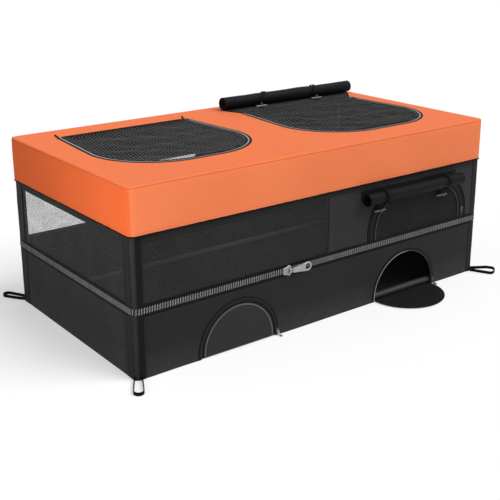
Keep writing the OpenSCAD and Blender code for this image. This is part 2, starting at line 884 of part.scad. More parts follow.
roof_mesh(0);  // roof_mesh_left
roof_mesh(1);  // roof_mesh_right
roof_zip(0);  // roof_zip_left
roof_zip(1);  // roof_zip_right
roof_slider(0);  // roof_slider_left
roof_slider(1);  // roof_slider_right
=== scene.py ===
import math

import bmesh
import bpy
import numpy as np
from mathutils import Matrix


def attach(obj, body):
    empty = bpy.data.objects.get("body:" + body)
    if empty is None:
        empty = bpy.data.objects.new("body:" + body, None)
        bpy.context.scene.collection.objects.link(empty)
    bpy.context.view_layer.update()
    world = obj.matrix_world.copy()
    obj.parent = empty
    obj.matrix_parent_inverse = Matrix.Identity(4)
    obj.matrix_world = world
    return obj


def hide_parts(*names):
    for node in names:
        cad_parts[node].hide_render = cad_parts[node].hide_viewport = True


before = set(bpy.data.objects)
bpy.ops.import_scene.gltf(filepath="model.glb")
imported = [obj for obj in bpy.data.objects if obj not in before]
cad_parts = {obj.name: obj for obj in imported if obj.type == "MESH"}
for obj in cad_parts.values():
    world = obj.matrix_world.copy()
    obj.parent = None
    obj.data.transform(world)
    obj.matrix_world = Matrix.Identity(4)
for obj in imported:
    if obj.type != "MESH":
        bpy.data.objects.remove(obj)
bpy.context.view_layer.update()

mm = 0.001  # all sizes below are in millimetres
tau = 2 * math.pi
weldGap = 0.000004  # metres; points this near become one
outFront, upward = (0, -1, 0), (0, 0, 1)
scene = bpy.context.scene


# Grids and meshes

def spread(a, b):
    # two rows of values as a grid, the first along its length
    return np.meshgrid(a, b, indexing="ij")


def gridFaces(nu, nv, loopU=False, loopV=False):
    # quads between neighbours on a grid of nu by nv points
    i, j = spread(np.arange(nu - (not loopU)), np.arange(nv - (not loopV)))
    k, m = (i + 1) % nu, (j + 1) % nv
    return np.stack([i * nv + j, k * nv + j, k * nv + m, i * nv + m], -1).reshape(-1, 4)


def patch(grid, loopU=False, loopV=False):
    # a grid of points as a list of points with the quads between them
    return grid.reshape(-1, 3), gridFaces(*grid.shape[:2], loopU, loopV)


def join(*patches):
    # several patches as one
    starts = np.cumsum([0] + [len(p) for p, f in patches])
    points = np.concatenate([p for p, f in patches])
    return points, np.concatenate([f + n for (p, f), n in zip(patches, starts)])


def slab(front, back):
    # two grids of one size, skinned together along their edges
    rims = [np.stack([front[:, k], back[:, k]], 1) for k in (0, -1)]
    rims += [np.stack([front[k], back[k]]) for k in (0, -1)]
    return join(*[patch(grid) for grid in [front, back] + rims])


def addPiece(name, made, body, finish, nodes=(), thick=0.0, facing=None, sharp=40, lining=None):
    # makes the object: a net keeps its loose strands, any other mesh is welded;
    # an open sheet is turned to face outwards and gets its thickness and lining on the inside
    points, faces, knit = (*made, None)[:3]
    if facing is not None and thick:
        a, b, c, d = (points[faces[:, k]] for k in range(4))
        if (np.cross(c - a, d - b) * facing).sum() < 0:
            faces = faces[:, ::-1]
    mesh = bpy.data.meshes.new(name)
    mesh.from_pydata((points * mm).tolist(), [], faces.tolist())
    if knit is None:
        welded = bmesh.new()
        welded.from_mesh(mesh)
        bmesh.ops.remove_doubles(welded, verts=welded.verts, dist=weldGap)
        if not thick:
            bmesh.ops.recalc_face_normals(welded, faces=welded.faces)
        welded.to_mesh(mesh)
        welded.free()
    else:
        loops = np.empty(len(mesh.loops), int)
        mesh.loops.foreach_get("vertex_index", loops)
        mesh.uv_layers.new(name="knit").data.foreach_set("uv", knit[loops].ravel())
    mesh.materials.append(finish)
    if lining:
        mesh.materials.append(lining)
    piece = bpy.data.objects.new(name, mesh)
    scene.collection.objects.link(piece)
    if thick:
        cloth = piece.modifiers.new("cloth", "SOLIDIFY")
        cloth.thickness = thick * mm
        cloth.offset = -1
        cloth.material_offset = 1 if lining else 0
        bpy.context.view_layer.update()
        solid = piece.evaluated_get(bpy.context.evaluated_depsgraph_get())
        piece.data = bpy.data.meshes.new_from_object(solid)
        piece.modifiers.clear()
    elif lining:
        normals = np.empty(3 * len(mesh.polygons))
        mesh.polygons.foreach_get("normal", normals)
        inside = normals.reshape(-1, 3) @ np.array(facing, float) < -0.5
        mesh.polygons.foreach_set("material_index", inside.astype(int))
    piece.data.shade_smooth()
    piece.data.set_sharp_from_angle(angle=math.radians(sharp))
    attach(piece, body)
    if nodes:
        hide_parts(*nodes)
    return piece


# Paths and profiles

def resample(line, count, crowd=False, closed=False):
    # points evenly along a line, or crowded towards its ends
    line = np.asarray(line, float)
    if closed:
        line = np.concatenate([line, line[:1]])
    far = np.concatenate([[0], np.cumsum(np.linalg.norm(np.diff(line, axis=0), axis=1))])
    t = np.linspace(0, 1, count + closed)[:count]
    if crowd:
        t = (1 - np.cos(math.pi * t)) / 2
    return np.stack([np.interp(t * far[-1], far, c) for c in line.T], -1)


def sideways(path, up, closed=False):
    # directions to the side and up along a path, square to it
    ahead = np.roll(path, -1, 0) - np.roll(path, 1, 0) if closed else np.gradient(path, axis=0)
    side = np.cross(ahead, up)
    side /= np.linalg.norm(side, axis=1, keepdims=True)
    top = np.cross(side, ahead)
    return side, top / np.linalg.norm(top, axis=1, keepdims=True)


def sweep(path, profile, up=upward, closed=False):
    # a closed profile carried along a path, with the ends drawn together
    side, top = sideways(path, up, closed)
    grid = path[:, None] + profile[..., :1] * side[:, None] + profile[..., 1:] * top[:, None]
    if not closed:
        ends = np.broadcast_to(grid.mean(1, keepdims=True), grid.shape)
        grid = np.concatenate([ends[:1], grid, ends[-1:]])
    return patch(grid, closed, True)


def circle(r, count=10):
    # a round profile, or one for each radius
    t = tau * np.arange(count) / count
    return np.multiply.outer(r, np.stack([np.cos(t), np.sin(t)], -1))


def squared(wave, power):
    # a wave raised to a power with its sign kept; a small power makes it squarer
    return np.sign(wave) * np.abs(wave) ** power


def strap(thick, wide, count=16):
    # a flat profile with rounded edges: a squared cosine and sine
    t = tau * (np.arange(count) + 0.5) / count
    return np.stack([squared(np.cos(t), 0.45) * thick / 2, squared(np.sin(t), 0.3) * wide / 2], -1)


def coil(line, up, pitch, wide, deep, wire, closed=False, steps=10, power=1.0):
    # a wire wound along a line: to the side by a cosine and up by a sine of its turns, squared by a power
    length = np.linalg.norm(np.diff(line, axis=0), axis=1).sum()
    count = steps * round(length / pitch)
    path = resample(line, count, closed=closed)
    side, top = sideways(path, up, closed)
    turn = tau * np.arange(count)[:, None] / steps
    c, s = np.cos(turn), np.sin(turn)
    wound = path + wide * squared(c, power) * side + deep * squared(s, power) * top
    return sweep(wound, circle(wire, 5), c * side + s * top, closed)


def across(inner, outer, rows):
    # points on the way from one line to another, at shares of the way
    return inner[..., None, :] + np.asarray(rows)[:, None] * (outer - inner)[:, None]


def between(inner, outer, counts, rows, crowd=False):
    # a grid from one outline to another, given as matching sections
    a, b = (np.concatenate([resample(p, n, crowd)[: n - 1] for p, n in zip(line, counts)] + [line[-1][-1:]])
            for line in (inner, outer))
    return across(a, b, rows)


def roundArch(arch, cuts, left, right, low, high, counts, rows):
    # the field from an arch, cut in three, out to the left, upper and right sides of a rectangle
    marks = np.array([[left, low], [left, high], [right, high], [right, low]], float)
    inner = [arch[: cuts[0] + 1], arch[cuts[0]: cuts[1] + 1], arch[cuts[1]:]]
    return between(inner, [marks[k: k + 2] for k in range(3)], counts, rows)


def ripple(a, b, seed, shortest, longest):
    # sum of seven sine waves with random lengths, directions and phases, about one high
    r, count = np.random.default_rng(seed), 7
    length = r.uniform(shortest, longest, count)
    turn = r.uniform(0, math.pi, count)
    phase = r.uniform(0, tau, count)
    wave = np.multiply.outer(a, np.cos(turn) / length) + np.multiply.outer(b, np.sin(turn) / length)
    return np.sin(tau * wave + phase).sum(-1) / math.sqrt(count)


def ramp(t, start, width):
    # zero up to start, then straight up to one
    return np.clip((t - start) / width, 0, 1)


def fade(t, low, high, width):
    # zero at both ends of a range and one from width inside it, smoothly
    x = ramp(np.minimum(t - low, high - t), 0, width)
    return x * x * (3 - 2 * x)


def bell(t, width):
    # one at zero, falling off on both sides
    return np.exp(-((t / width) ** 2))


# Places on the box: its walls and its outline

walls = {
    "front": ((1, 0, 0), (0, -1, 0), 260.0, 497.0),  # along, outwards, distance of the face, half length
    "right": ((0, 1, 0), (1, 0, 0), 497.0, 260.0),
    "back": ((-1, 0, 0), (0, 1, 0), 260.0, 497.0),
    "left": ((0, -1, 0), (-1, 0, 0), 497.0, 260.0),
}
outline = {"halfX": 486.0, "halfY": 249.0, "radius": 11.0}  # to the middles of its round corners
heights = {"lowerTop": 137.4, "upperLow": 150.6, "bandLow": 281.0, "bandTop": 310.0, "roof": 395.0}
quarter = outline["radius"] * math.pi / 2
ringMarks = np.cumsum([0] + [2 * outline["halfX"], quarter, 2 * outline["halfY"], quarter] * 2)
corners = [-quarter / 2] + [ringMarks[k] + quarter / 2 for k in (1, 3, 5, 7)]  # along the outline


def spanned(*parts):
    # lengths along directions, added up
    return sum(np.multiply.outer(size, np.array(way, float)) for size, way in parts)


def onWall(side, a, z, out):
    # a along the wall, z up, out from its face
    along, outward, face = walls[side][:3]
    a, z, out = np.broadcast_arrays(a, z, out)
    return spanned((a, along), (face + out, outward), (z, upward))


def onFront(flat, out, x=0.0):
    # points of a flat line or grid on the front wall, moved along it by x
    return onWall("front", x + flat[..., 0], flat[..., 1], out)


def atHeight(flat, z):
    # points of a flat line or grid with their height
    return np.concatenate([flat, np.broadcast_to(z, flat.shape[:-1])[..., None]], -1)


def onRing(s, z, out):
    # s along the walls' outline, four straight sides joined by quarter circles; z up, out from the faces
    far = np.mod(s, ringMarks[-1])
    turn = np.interp(far, ringMarks, np.radians([-90, -90, 0, 0, 90, 90, 180, 180, 270]))
    x = np.interp(far, ringMarks, outline["halfX"] * np.array([-1, 1, 1, 1, 1, -1, -1, -1, -1]))
    y = np.interp(far, ringMarks, outline["halfY"] * np.array([-1, -1, -1, 1, 1, 1, 1, -1, -1]))
    reach = outline["radius"] + np.broadcast_to(out, (len(s), len(z)))
    grid = np.empty((len(s), len(z), 3))
    grid[..., 0] = x[:, None] + reach * np.cos(turn)[:, None]
    grid[..., 1] = y[:, None] + reach * np.sin(turn)[:, None]
    grid[..., 2] = z
    return grid


def ringLine(z, out, count):
    # a closed line round the box
    return onRing(np.linspace(0, ringMarks[-1], count, endpoint=False), np.array([z]), out)[:, 0]


def archLine(r, leg, low=0.0):
    # a half round on two straight legs, from the left foot to the right one
    t = np.linspace(math.pi, 0, 73)
    top = np.stack([r * np.cos(t), leg + r * np.sin(t)], -1)
    return np.concatenate([[[-r, low]], top, [[r, low]]])


def roundedLine(foot, half, top, r, low):
    # straight up from each foot, a quarter round and a straight top, from the left foot to the right one
    t = np.linspace(0, math.pi / 2, 25)
    left = np.stack([r - half - r * np.cos(t), top - r + r * np.sin(t)], -1)
    return np.concatenate([[[-foot, low]], left, left[::-1] * [-1, 1], [[foot, low]]])


roundedCuts = (13, 38)  # the middles of its two quarter rounds


# Materials

class nodeValue:
    # a number, colour or shader in a material: the output of a node, for sums with other outputs and numbers
    def __init__(self, tree, kind, inputs=None, out=0, **settings):
        self.tree = tree
        self.node = tree.nodes.new(kind)
        for key, value in settings.items():
            setattr(self.node, key, value)
        for key, value in (inputs or {}).items():
            feed(self.node.inputs[key], value)
        self.socket = self.node.outputs[out] if self.node.outputs else None

    def step(self, operation, *others):
        # one step of arithmetic
        return nodeValue(self.tree, "ShaderNodeMath", dict(enumerate((self, *others))), operation=operation)

    # plus, minus, times and abs() add a node each
    def __add__(self, other):
        return self.step("ADD", other)

    def __sub__(self, other):
        return self.step("SUBTRACT", other)

    def __mul__(self, other):
        return self.step("MULTIPLY", other)

    def __abs__(self):
        return self.step("ABSOLUTE")

    def most(self, other):
        # the larger of the two
        return self.step("MAXIMUM", other)

    def sine(self, pitch):
        # a sine along it, one wave to the pitch
        return (self * (tau / (pitch * mm))).step("SINE")

    def ranged(self, low, high, toLow=0, toHigh=1):
        # its range stretched onto another
        return nodeValue(self.tree, "ShaderNodeMapRange", {0: self, 1: low, 2: high, 3: toLow, 4: toHigh})

    def blend(self, a, b):
        # from colour a to colour b by this share
        a, b = (c if isinstance(c, nodeValue) else (*c, 1) for c in (a, b))
        return nodeValue(self.tree, "ShaderNodeMix", {0: self, 6: a, 7: b}, 2, data_type="RGBA")

    def noise(self, scale, detail=3.0):
        # clouds of a size at this place
        return nodeValue(self.tree, "ShaderNodeTexNoise", {"Vector": self, "Scale": scale, "Detail": detail})

    def axes(self):
        # this place's x, y and z
        return [nodeValue(self.tree, "ShaderNodeSeparateXYZ", {0: self}, k) for k in range(3)]


def feed(socket, value):
    # links a socket to an output, or sets it
    if isinstance(value, nodeValue):
        value.tree.links.new(value.socket, socket)
    else:
        socket.default_value = value


def newMaterial(name):
    # a material, its shader, and where a point lies in the frame
    finish = bpy.data.materials.new(name)
    finish.use_nodes = True
    tree = finish.node_tree
    return finish, tree.nodes["Principled BSDF"], nodeValue(tree, "ShaderNodeTexCoord", out="Object")


def stitchRows(axes, rows, dash=4.0):
    # dashes along each row; a row is an axis and its distance from the middle or the floor
    x, y, z = axes
    found = None
    for axis, where in rows:
        near = abs(abs(axes["xyz".index(axis)]) - where * mm).step("LESS_THAN", 0.0005)
        row = near * (x + y if axis == "z" else z).sine(dash).step("GREATER_THAN", -0.5)
        found = found.most(row) if found else row
    return found


def finished(shader, colour, rough, height, bump, deep, **constants):
    # links the colour, roughness and bump; what is the same all over is set on the shader itself
    raised = nodeValue(colour.tree, "ShaderNodeBump", {"Strength": bump, "Distance": deep, "Height": height})
    links = {"Base Color": colour, "Roughness": rough, "Normal": raised}
    for key, value in (*links.items(), *constants.items()):
        feed(shader.inputs[key], value)


def tinted(colour, level):
    # a colour made darker or paler
    return [level * c for c in colour]


# a pale, mottled tint near the floor
nearFloorTint = {"colour": (0.3, 0.28, 0.25), "high": 0.06, "grain": 60.0}


def fabric(name, dark, light, pitch=0.9, bump=0.35, rough=(0.62, 0.8), sheen=0.03, gloss=0.2, flat=False,
           rows=(), thread=None, ribs=None, paleNearFloor=0.0, seams=None, wearAndPaintedLight=None):
    # woven cloth: cloudy colour, and threads as sines along two directions in the cloth, added up, which are
    # x and y where it lies flat, else round the walls and up, with painted shade between them; ribs up the
    # cloth with painted shade in their troughs, a pale mottled tint near the floor, stitch rows, painted
    # shade along the seams, and painted light: paler along the box towards the right, and a painted
    # highlight down the corners
    finish, shader, place = newMaterial(name)
    x, y, z = place.axes()
    clouds, grain = place.noise(7.0, 5.0), place.noise(900.0, 2.0)
    around, corner = x + y, abs(x) + abs(y)
    threads = x.sine(pitch) + y.sine(pitch) if flat else around.sine(pitch) + z.sine(pitch)
    colour = (clouds.ranged(0.3, 0.7) * 0.7 + grain * 0.3).blend(dark, light)
    # painted shade between the threads
    colour = threads.ranged(-1.8, 0.8, 0.25, 0).blend(colour, tinted(dark, 0.55))
    height = threads * 0.25 + grain * 0.6
    if ribs:
        both = z.sine(1.3 * ribs["pitch"]) * 0.35 + around.sine(ribs["pitch"])
        # painted shade in the rib troughs
        colour = both.ranged(-0.9, 0.9, ribs["depth"], 0).blend(colour, tinted(dark, 0.35))
        height = both * 0.8 + height
    if paleNearFloor:
        low = z.ranged(0.0, nearFloorTint["high"], paleNearFloor, 0) * place.noise(nearFloorTint["grain"], 6.0)
        colour = low.blend(colour, nearFloorTint["colour"])
    if rows:
        stitched = stitchRows((x, y, z), rows)
        colour = (stitched * 0.7).blend(colour, thread or tinted(light, 1.9))
        height = stitched * 2.0 + height
    if seams:
        # painted shade: a dark line along the roof seam and down the corner seams
        half, edge = seams["half"] * mm, seams["corner"] * mm
        line = abs(z - seams["z"] * mm).ranged(half, 0.3 * half)
        line = line.most(corner.ranged(edge, edge + 0.3 * mm, 0, 0.6))
        colour = (line * 0.55).blend(colour, tinted(dark, 0.4))
    if wearAndPaintedLight:
        # painted light: paler towards the right of the box; then a painted highlight down the corners
        colour = x.ranged(*wearAndPaintedLight["paintedLightRun"]).blend(colour, wearAndPaintedLight["paintedLightTone"])
        cornerHighlight = corner.ranged(*wearAndPaintedLight["highlightBand"]) * clouds.ranged(0.2, 0.6, 0.7, 1)
        colour = cornerHighlight.blend(colour, wearAndPaintedLight["rubAndHighlight"])
    finished(shader, colour, clouds.ranged(0.3, 0.7, *rough), height, bump, 0.0004,
             **{"Sheen Weight": sheen, "Sheen Roughness": 0.5, "Specular IOR Level": gloss})
    return finish


def moulded(name, dark, light, rough=(0.35, 0.5), metallic=0.0, wearAndPaintedLight=None, gloss=0.5, knotHighlights=False,
            depth=None, dull=0.0):
    # plastic, nylon or metal: fine grain, faint clouds, rubbed high spots; a net's yarn is paler at its
    # knots, a painted highlight; a coil gets paler with its distance from the box's rounded outline, which
    # paints shade on its inner side; tubes are dull at the back
    finish, shader, place = newMaterial(name)
    x, y = place.axes()[:2]
    grain = place.noise(500.0, 4.0)
    share = place.noise(40.0).ranged(0.3, 0.7)
    # painted highlight on the yarn at its knots
    if knotHighlights:
        u, v = nodeValue(place.tree, "ShaderNodeUVMap", uv_map="knit").axes()[:2]
        knot = (u * tau).step("COSINE") * (v * tau).step("COSINE")
        share = share * 0.15 + knot.ranged(-0.1, 0.6, 0, 0.85)
    # painted shade on the coil's inner side, paler at its outer crest
    if depth:
        dx, dy = (abs(a) - outline[k] * mm for a, k in ((x, "halfX"), (y, "halfY")))
        dx, dy = dx.most(0.0), dy.most(0.0)
        out = (dx * dx + dy * dy).step("SQRT") - outline["radius"] * mm
        share = (share * 0.3 + 0.7) * out.ranged(depth[0] * mm, depth[1] * mm)
    colour = share.blend(dark, light)
    if wearAndPaintedLight:
        rubAndHighlight = nodeValue(place.tree, "ShaderNodeNewGeometry", out="Pointiness")
        colour = rubAndHighlight.ranged(0.52, 0.6, 0, 0.6).blend(colour, (wearAndPaintedLight, wearAndPaintedLight, wearAndPaintedLight))
    roughness = grain.ranged(0.3, 0.7, *rough)
    if dull:
        roughness = roughness.most(y.ranged(-0.1, 0.1, 0, dull))
    finished(shader, colour, roughness, grain, 0.15, 0.0002,
             **{"Metallic": metallic, "Specular IOR Level": gloss})
    return finish


def greys(dark, light, cool=0.0002, coolLight=None):
    # two greys, each with a little more blue
    return [(level, level, level + more) for level, more in ((dark, cool), (light, coolLight or cool))]


def yarn(name, *shades):
    # a net's yarn, with a painted highlight at its knots
    return moulded(name, *greys(*shades), rough=(0.5, 0.65), knotHighlights=True, gloss=0.3)


skirtFinish = {"bump": 0.25, "rows": [("z", 302.5)], "seams": {"z": 391.0, "half": 1.1, "corner": 754.4}}
# painted light on the sleeves: their dark tone is painted shade at the left, paler towards the right of the
# box, and a painted highlight down the corners
sleevePaintedLight = {"paintedLightTone": (0.021, 0.021, 0.0213), "paintedLightRun": (-0.2, 0.4),
              "rubAndHighlight": (0.038, 0.038, 0.039), "highlightBand": (0.7490, 0.7525)}
matt = {"gloss": 0.1, "sheen": 0.0}
# one orange cloth in three copies toned to the light on each face: the front and back copy is paler, a
# painted haze, and the side copy deeper, painted shade
orangeTop = fabric("orangeTop", (0.81, 0.172, 0.052), (0.90, 0.205, 0.066), bump=0.25, flat=True, gloss=0.15)
orangeFrontPaintedHaze = fabric("orangeFrontPaintedHaze", (0.82, 0.197, 0.070), (0.91, 0.232, 0.089), gloss=0.15,
                     thread=(0.62, 0.12, 0.04), **skirtFinish)
orangeSidePaintedShade = fabric("orangeSidePaintedShade", (0.82, 0.138, 0.034), (0.91, 0.166, 0.045), gloss=0.06, sheen=0.0,
                    thread=(0.62, 0.10, 0.03), **skirtFinish)  # painted shade: deeper than the front and back copy
wallCloth = fabric("wallCloth", *greys(0.0095, 0.0142, 0.0004), paleNearFloor=0.12, gloss=0.15,
                   rows=[("z", 127.5), ("z", 4.0)])
sleeveCloth = fabric("sleeveCloth", *greys(0.0075, 0.0105, 0.0003), rough=(0.36, 0.46), gloss=0.04,
                     sheen=0.0, rows=[("x", 475.0), ("y", 224.5)], thread=(0.05, 0.05, 0.052),
                     wearAndPaintedLight=sleevePaintedLight)
# darker than the walls: the band's own black with painted shadow under the skirt
bandCloth = fabric("bandCloth", *greys(0.007, 0.011, 0.0005), rows=[("z", 284.0)], gloss=0.15)
panelCloth = fabric("ribbedPanel", *greys(0.018, 0.025, 0.0005), ribs={"pitch": 4.6, "depth": 0.6}, bump=0.6)
# a cool tint that paints out the orange light bounced from the skirts
shadeCloth = fabric("shadeCloth", (0.0045, 0.0053, 0.0058), (0.0070, 0.0081, 0.0088), rough=(0.45, 0.6),
                    gloss=0.06, sheen=0.01)
flapCloth = fabric("flapCloth", *greys(0.015, 0.021, 0.0005), rough=(0.5, 0.65), gloss=0.15)
# darker than the outer cloth: painted shade inside the box
liningCloth = fabric("liningCloth", *greys(0.005, 0.008), **matt)
floorCloth = fabric("floorCloth", *greys(0.006, 0.009), pitch=1.4, flat=True, **matt)
tapeCloth = fabric("tapeCloth", *greys(0.003, 0.006), pitch=0.6, bump=0.5, **matt)
popTape = fabric("popTape", *greys(0.008, 0.012, 0.0003), pitch=0.6, bump=0.5, gloss=0.12)
roofTape = fabric("roofTape", *greys(0.11, 0.16, 0.005), pitch=0.6, bump=0.5, flat=True)
bindCloth = fabric("bindCloth", *greys(0.003, 0.006), pitch=1.1, bump=0.5, flat=True, **matt)
webCloth = fabric("webbing", *greys(0.0035, 0.0065), pitch=1.1, bump=0.6, rough=(0.5, 0.7), gloss=0.05,
                  sheen=0.0)
greyPiping = fabric("greyPiping", *greys(0.075, 0.115, 0.002), pitch=0.7, bump=0.5)
darkPiping = fabric("darkPiping", *greys(0.003, 0.005), pitch=0.7, bump=0.5, **matt)
cordCloth = fabric("tieCord", *greys(0.10, 0.17, 0.005), pitch=0.8, bump=0.6)
# painted shade on the coil's inner side
coilGrey = moulded("greyCoil", *greys(0.006, 0.36, 0.0003, 0.005), rough=(0.4, 0.55), depth=(0.6, 1.5))
coilPale = moulded("paleCoil", *greys(0.30, 0.42, 0.01), rough=(0.4, 0.55))
coilBlack = moulded("blackCoil", *greys(0.010, 0.016, 0.0005))
# the wall nets share one yarn; the front and back copy and the left copy are toned apart for the light on
# each face: painted light
netYarn = yarn("netYarn", 0.018, 0.100, 0.0005, 0.002)
sideYarn = yarn("sideYarn", 0.056, 0.084, 0.0005, 0.001)
windowYarn = yarn("windowYarn", 0.026, 0.048, 0.0005, 0.001)
roofYarn = yarn("roofYarn", 0.016, 0.21, 0.0003, 0.004)
metal = moulded("zipMetal", *greys(0.20, 0.28, 0.01), metallic=0.5, wearAndPaintedLight=0.6)
darkMetal = moulded("darkMetal", *greys(0.02, 0.035, 0.001), rough=(0.3, 0.45), metallic=0.4, wearAndPaintedLight=0.1)
tubeSteel = moulded("coatedTube", *greys(0.0025, 0.004), rough=(0.2, 0.28), wearAndPaintedLight=0.05, gloss=0.2, dull=0.8)
plastic = moulded("blackPlastic", *greys(0.014, 0.022, 0.0005), wearAndPaintedLight=0.06)
togglePlastic = moulded("togglePlastic", *greys(0.09, 0.14, 0.002), rough=(0.3, 0.45), wearAndPaintedLight=0.3)


def highlightedPiping():
    # black piping with a painted highlight: pale up to a point along the wall
    finish, shader, place = newMaterial("highlightEdgePiping")
    rubAndHighlight = place.axes()[0].ranged(0.235, 0.262, 1, 0) * place.noise(90.0).ranged(0.2, 0.5, 0.6, 1)
    feed(shader.inputs["Base Color"], rubAndHighlight.blend(*greys(0.006, 0.42, 0.0003, 0.01)))
    feed(shader.inputs["Roughness"], place.noise(600.0).ranged(0.3, 0.7, 0.4, 0.6))
    return finish


highlightEdgePiping = highlightedPiping()
print("materials:", len(bpy.data.materials))

tubes = ("corner_posts", "bottom_rails_long", "bottom_rails_short", "top_rails_long", "top_rails_short")
joints = ("bottom_corner_joints", "top_corner_joints")
for nodeName in tubes + joints:
    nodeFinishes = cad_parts[nodeName].data.materials
    nodeFinishes.clear()
    nodeFinishes.append(tubeSteel if nodeName in tubes else plastic)


# Lower walls, corner sleeves and floor

wallSheet = {"thick": 1.6, "wave": 0.5, "waves": (130, 420), "calm": (60, 30), "step": 9.0, "rows": 24,
             "tuck": 1.4, "tuckWide": 8, "underlap": 5.0}
sleeve = {"front": 24.0, "back": 24.0, "left": 38.0, "right": 38.0, "out": 0.6, "puff": 0.9, "puffWide": 13,
          "thick": 1.2}


def wallEnd(side):
    # how far a wall runs from its middle, to just under the sleeves
    return walls[side][3] - sleeve[side] + wallSheet["underlap"]


def wallOut(side, a, z, low, high, seed):
    # slack ripples that die out at the seams, and edges that tuck in under the sleeves
    end, calm = wallEnd(side), wallSheet["calm"]
    slack = ripple(a, z, seed, *wallSheet["waves"])
    slack = slack * fade(a, -end, end, calm[0]) * fade(z, low, high, calm[1])
    tucked = 1 - ramp(end - np.abs(a), 0, wallSheet["tuckWide"]) ** 2
    return wallSheet["wave"] * slack - wallSheet["tuck"] * tucked


def declareWall(wide, high, area=None):
    # works out the wall's width and height in metres and keeps neither
    wide * mm
    high * mm


def plainWall(name, side, low, high, left, right, seed, body, cloth, node, thick):
    # a flat field along the wall with those ripples, stretched between the posts
    along = np.linspace(left, right, max(8, int((right - left) / wallSheet["step"])))
    a, z = spread(along, np.linspace(low, high, wallSheet["rows"]))
    made = patch(onWall(side, a, z, wallOut(side, a, z, low, high, seed)))
    piece = addPiece(name + side.title(), made, body, cloth, [node], thick, walls[side][1],
                     lining=liningCloth)
    declareWall(right - left, high - low)


for k, side in enumerate(("right", "back", "left")):
    end = wallEnd(side)
    plainWall("lowerWall", side, 0.0, heights["lowerTop"], -end, end, 20 + k, "base", wallCloth,
              "lower_wall_" + side, wallSheet["thick"])

popDoor = {"x": 246.0, "hole": 97.0, "leg": 8.0, "cell": 120.0, "flap": 96.0, "pad": 86.0,
           "hinge": (-259.0, 2.2)}
popSides = {"Left": -popDoor["x"], "Right": popDoor["x"]}


def frontWall():
    # fields beside and round the two arched holes, sharing the points along their borders
    high, cell, x, end = heights["lowerTop"], popDoor["cell"], popDoor["x"], wallEnd("front")
    ring = roundArch(archLine(popDoor["hole"], popDoor["leg"]), (19, 55), -cell, cell, 0, high, (24, 40, 24),
                     [0, 0.03, 0.08, 0.2, 0.4, 0.7, 1])
    fields = [ring + [-x, 0], ring + [x, 0]]
    for left, right in ((-end, -x - cell), (cell - x, x - cell), (x + cell, end)):
        along = np.linspace(left, right, int((right - left) / wallSheet["step"]))
        fields.append(np.stack(spread(along, np.linspace(0, high, wallSheet["rows"])), -1))
    made = []
    for field in fields:
        a, z = field[..., 0], field[..., 1]
        gap = np.hypot(np.abs(a) - x, np.maximum(z - popDoor["leg"], 0)) - popDoor["hole"]
        hem = 0.9 * bell(gap, 1.2) * (gap < 4)
        made.append(patch(onFront(field, wallOut("front", a, z, -30, high, 31) * ramp(gap, 0, 30) - hem)))
    return join(*made)


popArea = 2 * (math.pi * popDoor["hole"] ** 2 / 2 + 2 * popDoor["hole"] * popDoor["leg"])
piece = addPiece("lowerWallFront", frontWall(), "base", wallCloth, ["lower_wall_front"],
                 wallSheet["thick"], outFront, lining=liningCloth)
frontWide = 2 * wallEnd("front")
declareWall(frontWide, heights["lowerTop"], (frontWide * heights["lowerTop"] - popArea) * mm * mm)

boxCorners = {
    "FrontLeft": ("left", "front", (-1, -1, 0)),  # the walls before and after it, and outwards
    "FrontRight": ("front", "right", (1, -1, 0)),
    "BackRight": ("right", "back", (1, 1, 0)),
    "BackLeft": ("back", "left", (-1, 1, 0)),
}


def cornerSleeve(k, sides, low, high):
    # cloth round a corner: stands out most at the corner, and its edges turn in to the walls
    before, after = (sleeve[side] - outline["radius"] + quarter / 2 for side in sides)
    t = np.linspace(-1, 1, 61)
    s = corners[k] + np.where(t < 0, before, after) * squared(t, 1.35)
    z = np.linspace(low, high, 40)
    a, b = spread(s - corners[k], z)
    edge = ramp(1 - np.abs(t), 0, 0.08)[:, None]
    puff = sleeve["puff"] * bell(a, sleeve["puffWide"]) * (0.8 + 0.2 * ripple(a, b, 50 + k, 40, 120))
    return patch(onRing(s, z, sleeve["out"] * (2 * edge - 1) + puff)), before + after


for k, (corner, (before, after, outward)) in enumerate(boxCorners.items()):
    for level, body, low, high in (("lower", "base", 0.0, heights["lowerTop"]),
                                   ("upper", "cover", heights["upperLow"], heights["bandTop"])):
        made, wide = cornerSleeve(k, (before, after), low, high)
        piece = addPiece(level + "Sleeve" + corner, made, body, sleeveCloth,
                         [level + "_corner_sleeves"], sleeve["thick"], outward, lining=liningCloth)
        wide * mm

floorSheet = {"halfX": 495.0, "halfY": 258.0, "radius": 9.0, "top": 1.4, "thick": 1.2, "wave": 0.3,
              "calm": 40}


def floorGrid():
    # a rectangle whose points beyond each corner's circle are drawn back onto it, slightly wavy
    hx, hy, r, calm = (floorSheet[k] for k in ("halfX", "halfY", "radius", "calm"))
    x, y = spread(np.linspace(-1, 1, 150) * hx, np.linspace(-1, 1, 80) * hy)
    dx, dy = np.maximum(np.abs(x) - hx + r, 0), np.maximum(np.abs(y) - hy + r, 0)
    back = np.minimum(1, r / np.maximum(np.hypot(dx, dy), 1e-6)) - 1
    wave = ripple(x, y, 61, 60, 260) * fade(x, -hx, hx, calm) * fade(y, -hy, hy, calm)
    flat = np.stack([x + np.sign(x) * dx * back, y + np.sign(y) * dy * back], -1)
    return patch(atHeight(flat, floorSheet["top"] + floorSheet["wave"] * (wave + 1)))


piece = addPiece("floorSheet", floorGrid(), "base", floorCloth, ["floor_panel"],
                 floorSheet["thick"], upward)
print("lower half: walls, sleeves, floor")


# Seam zip: tapes, coil, slider and pull

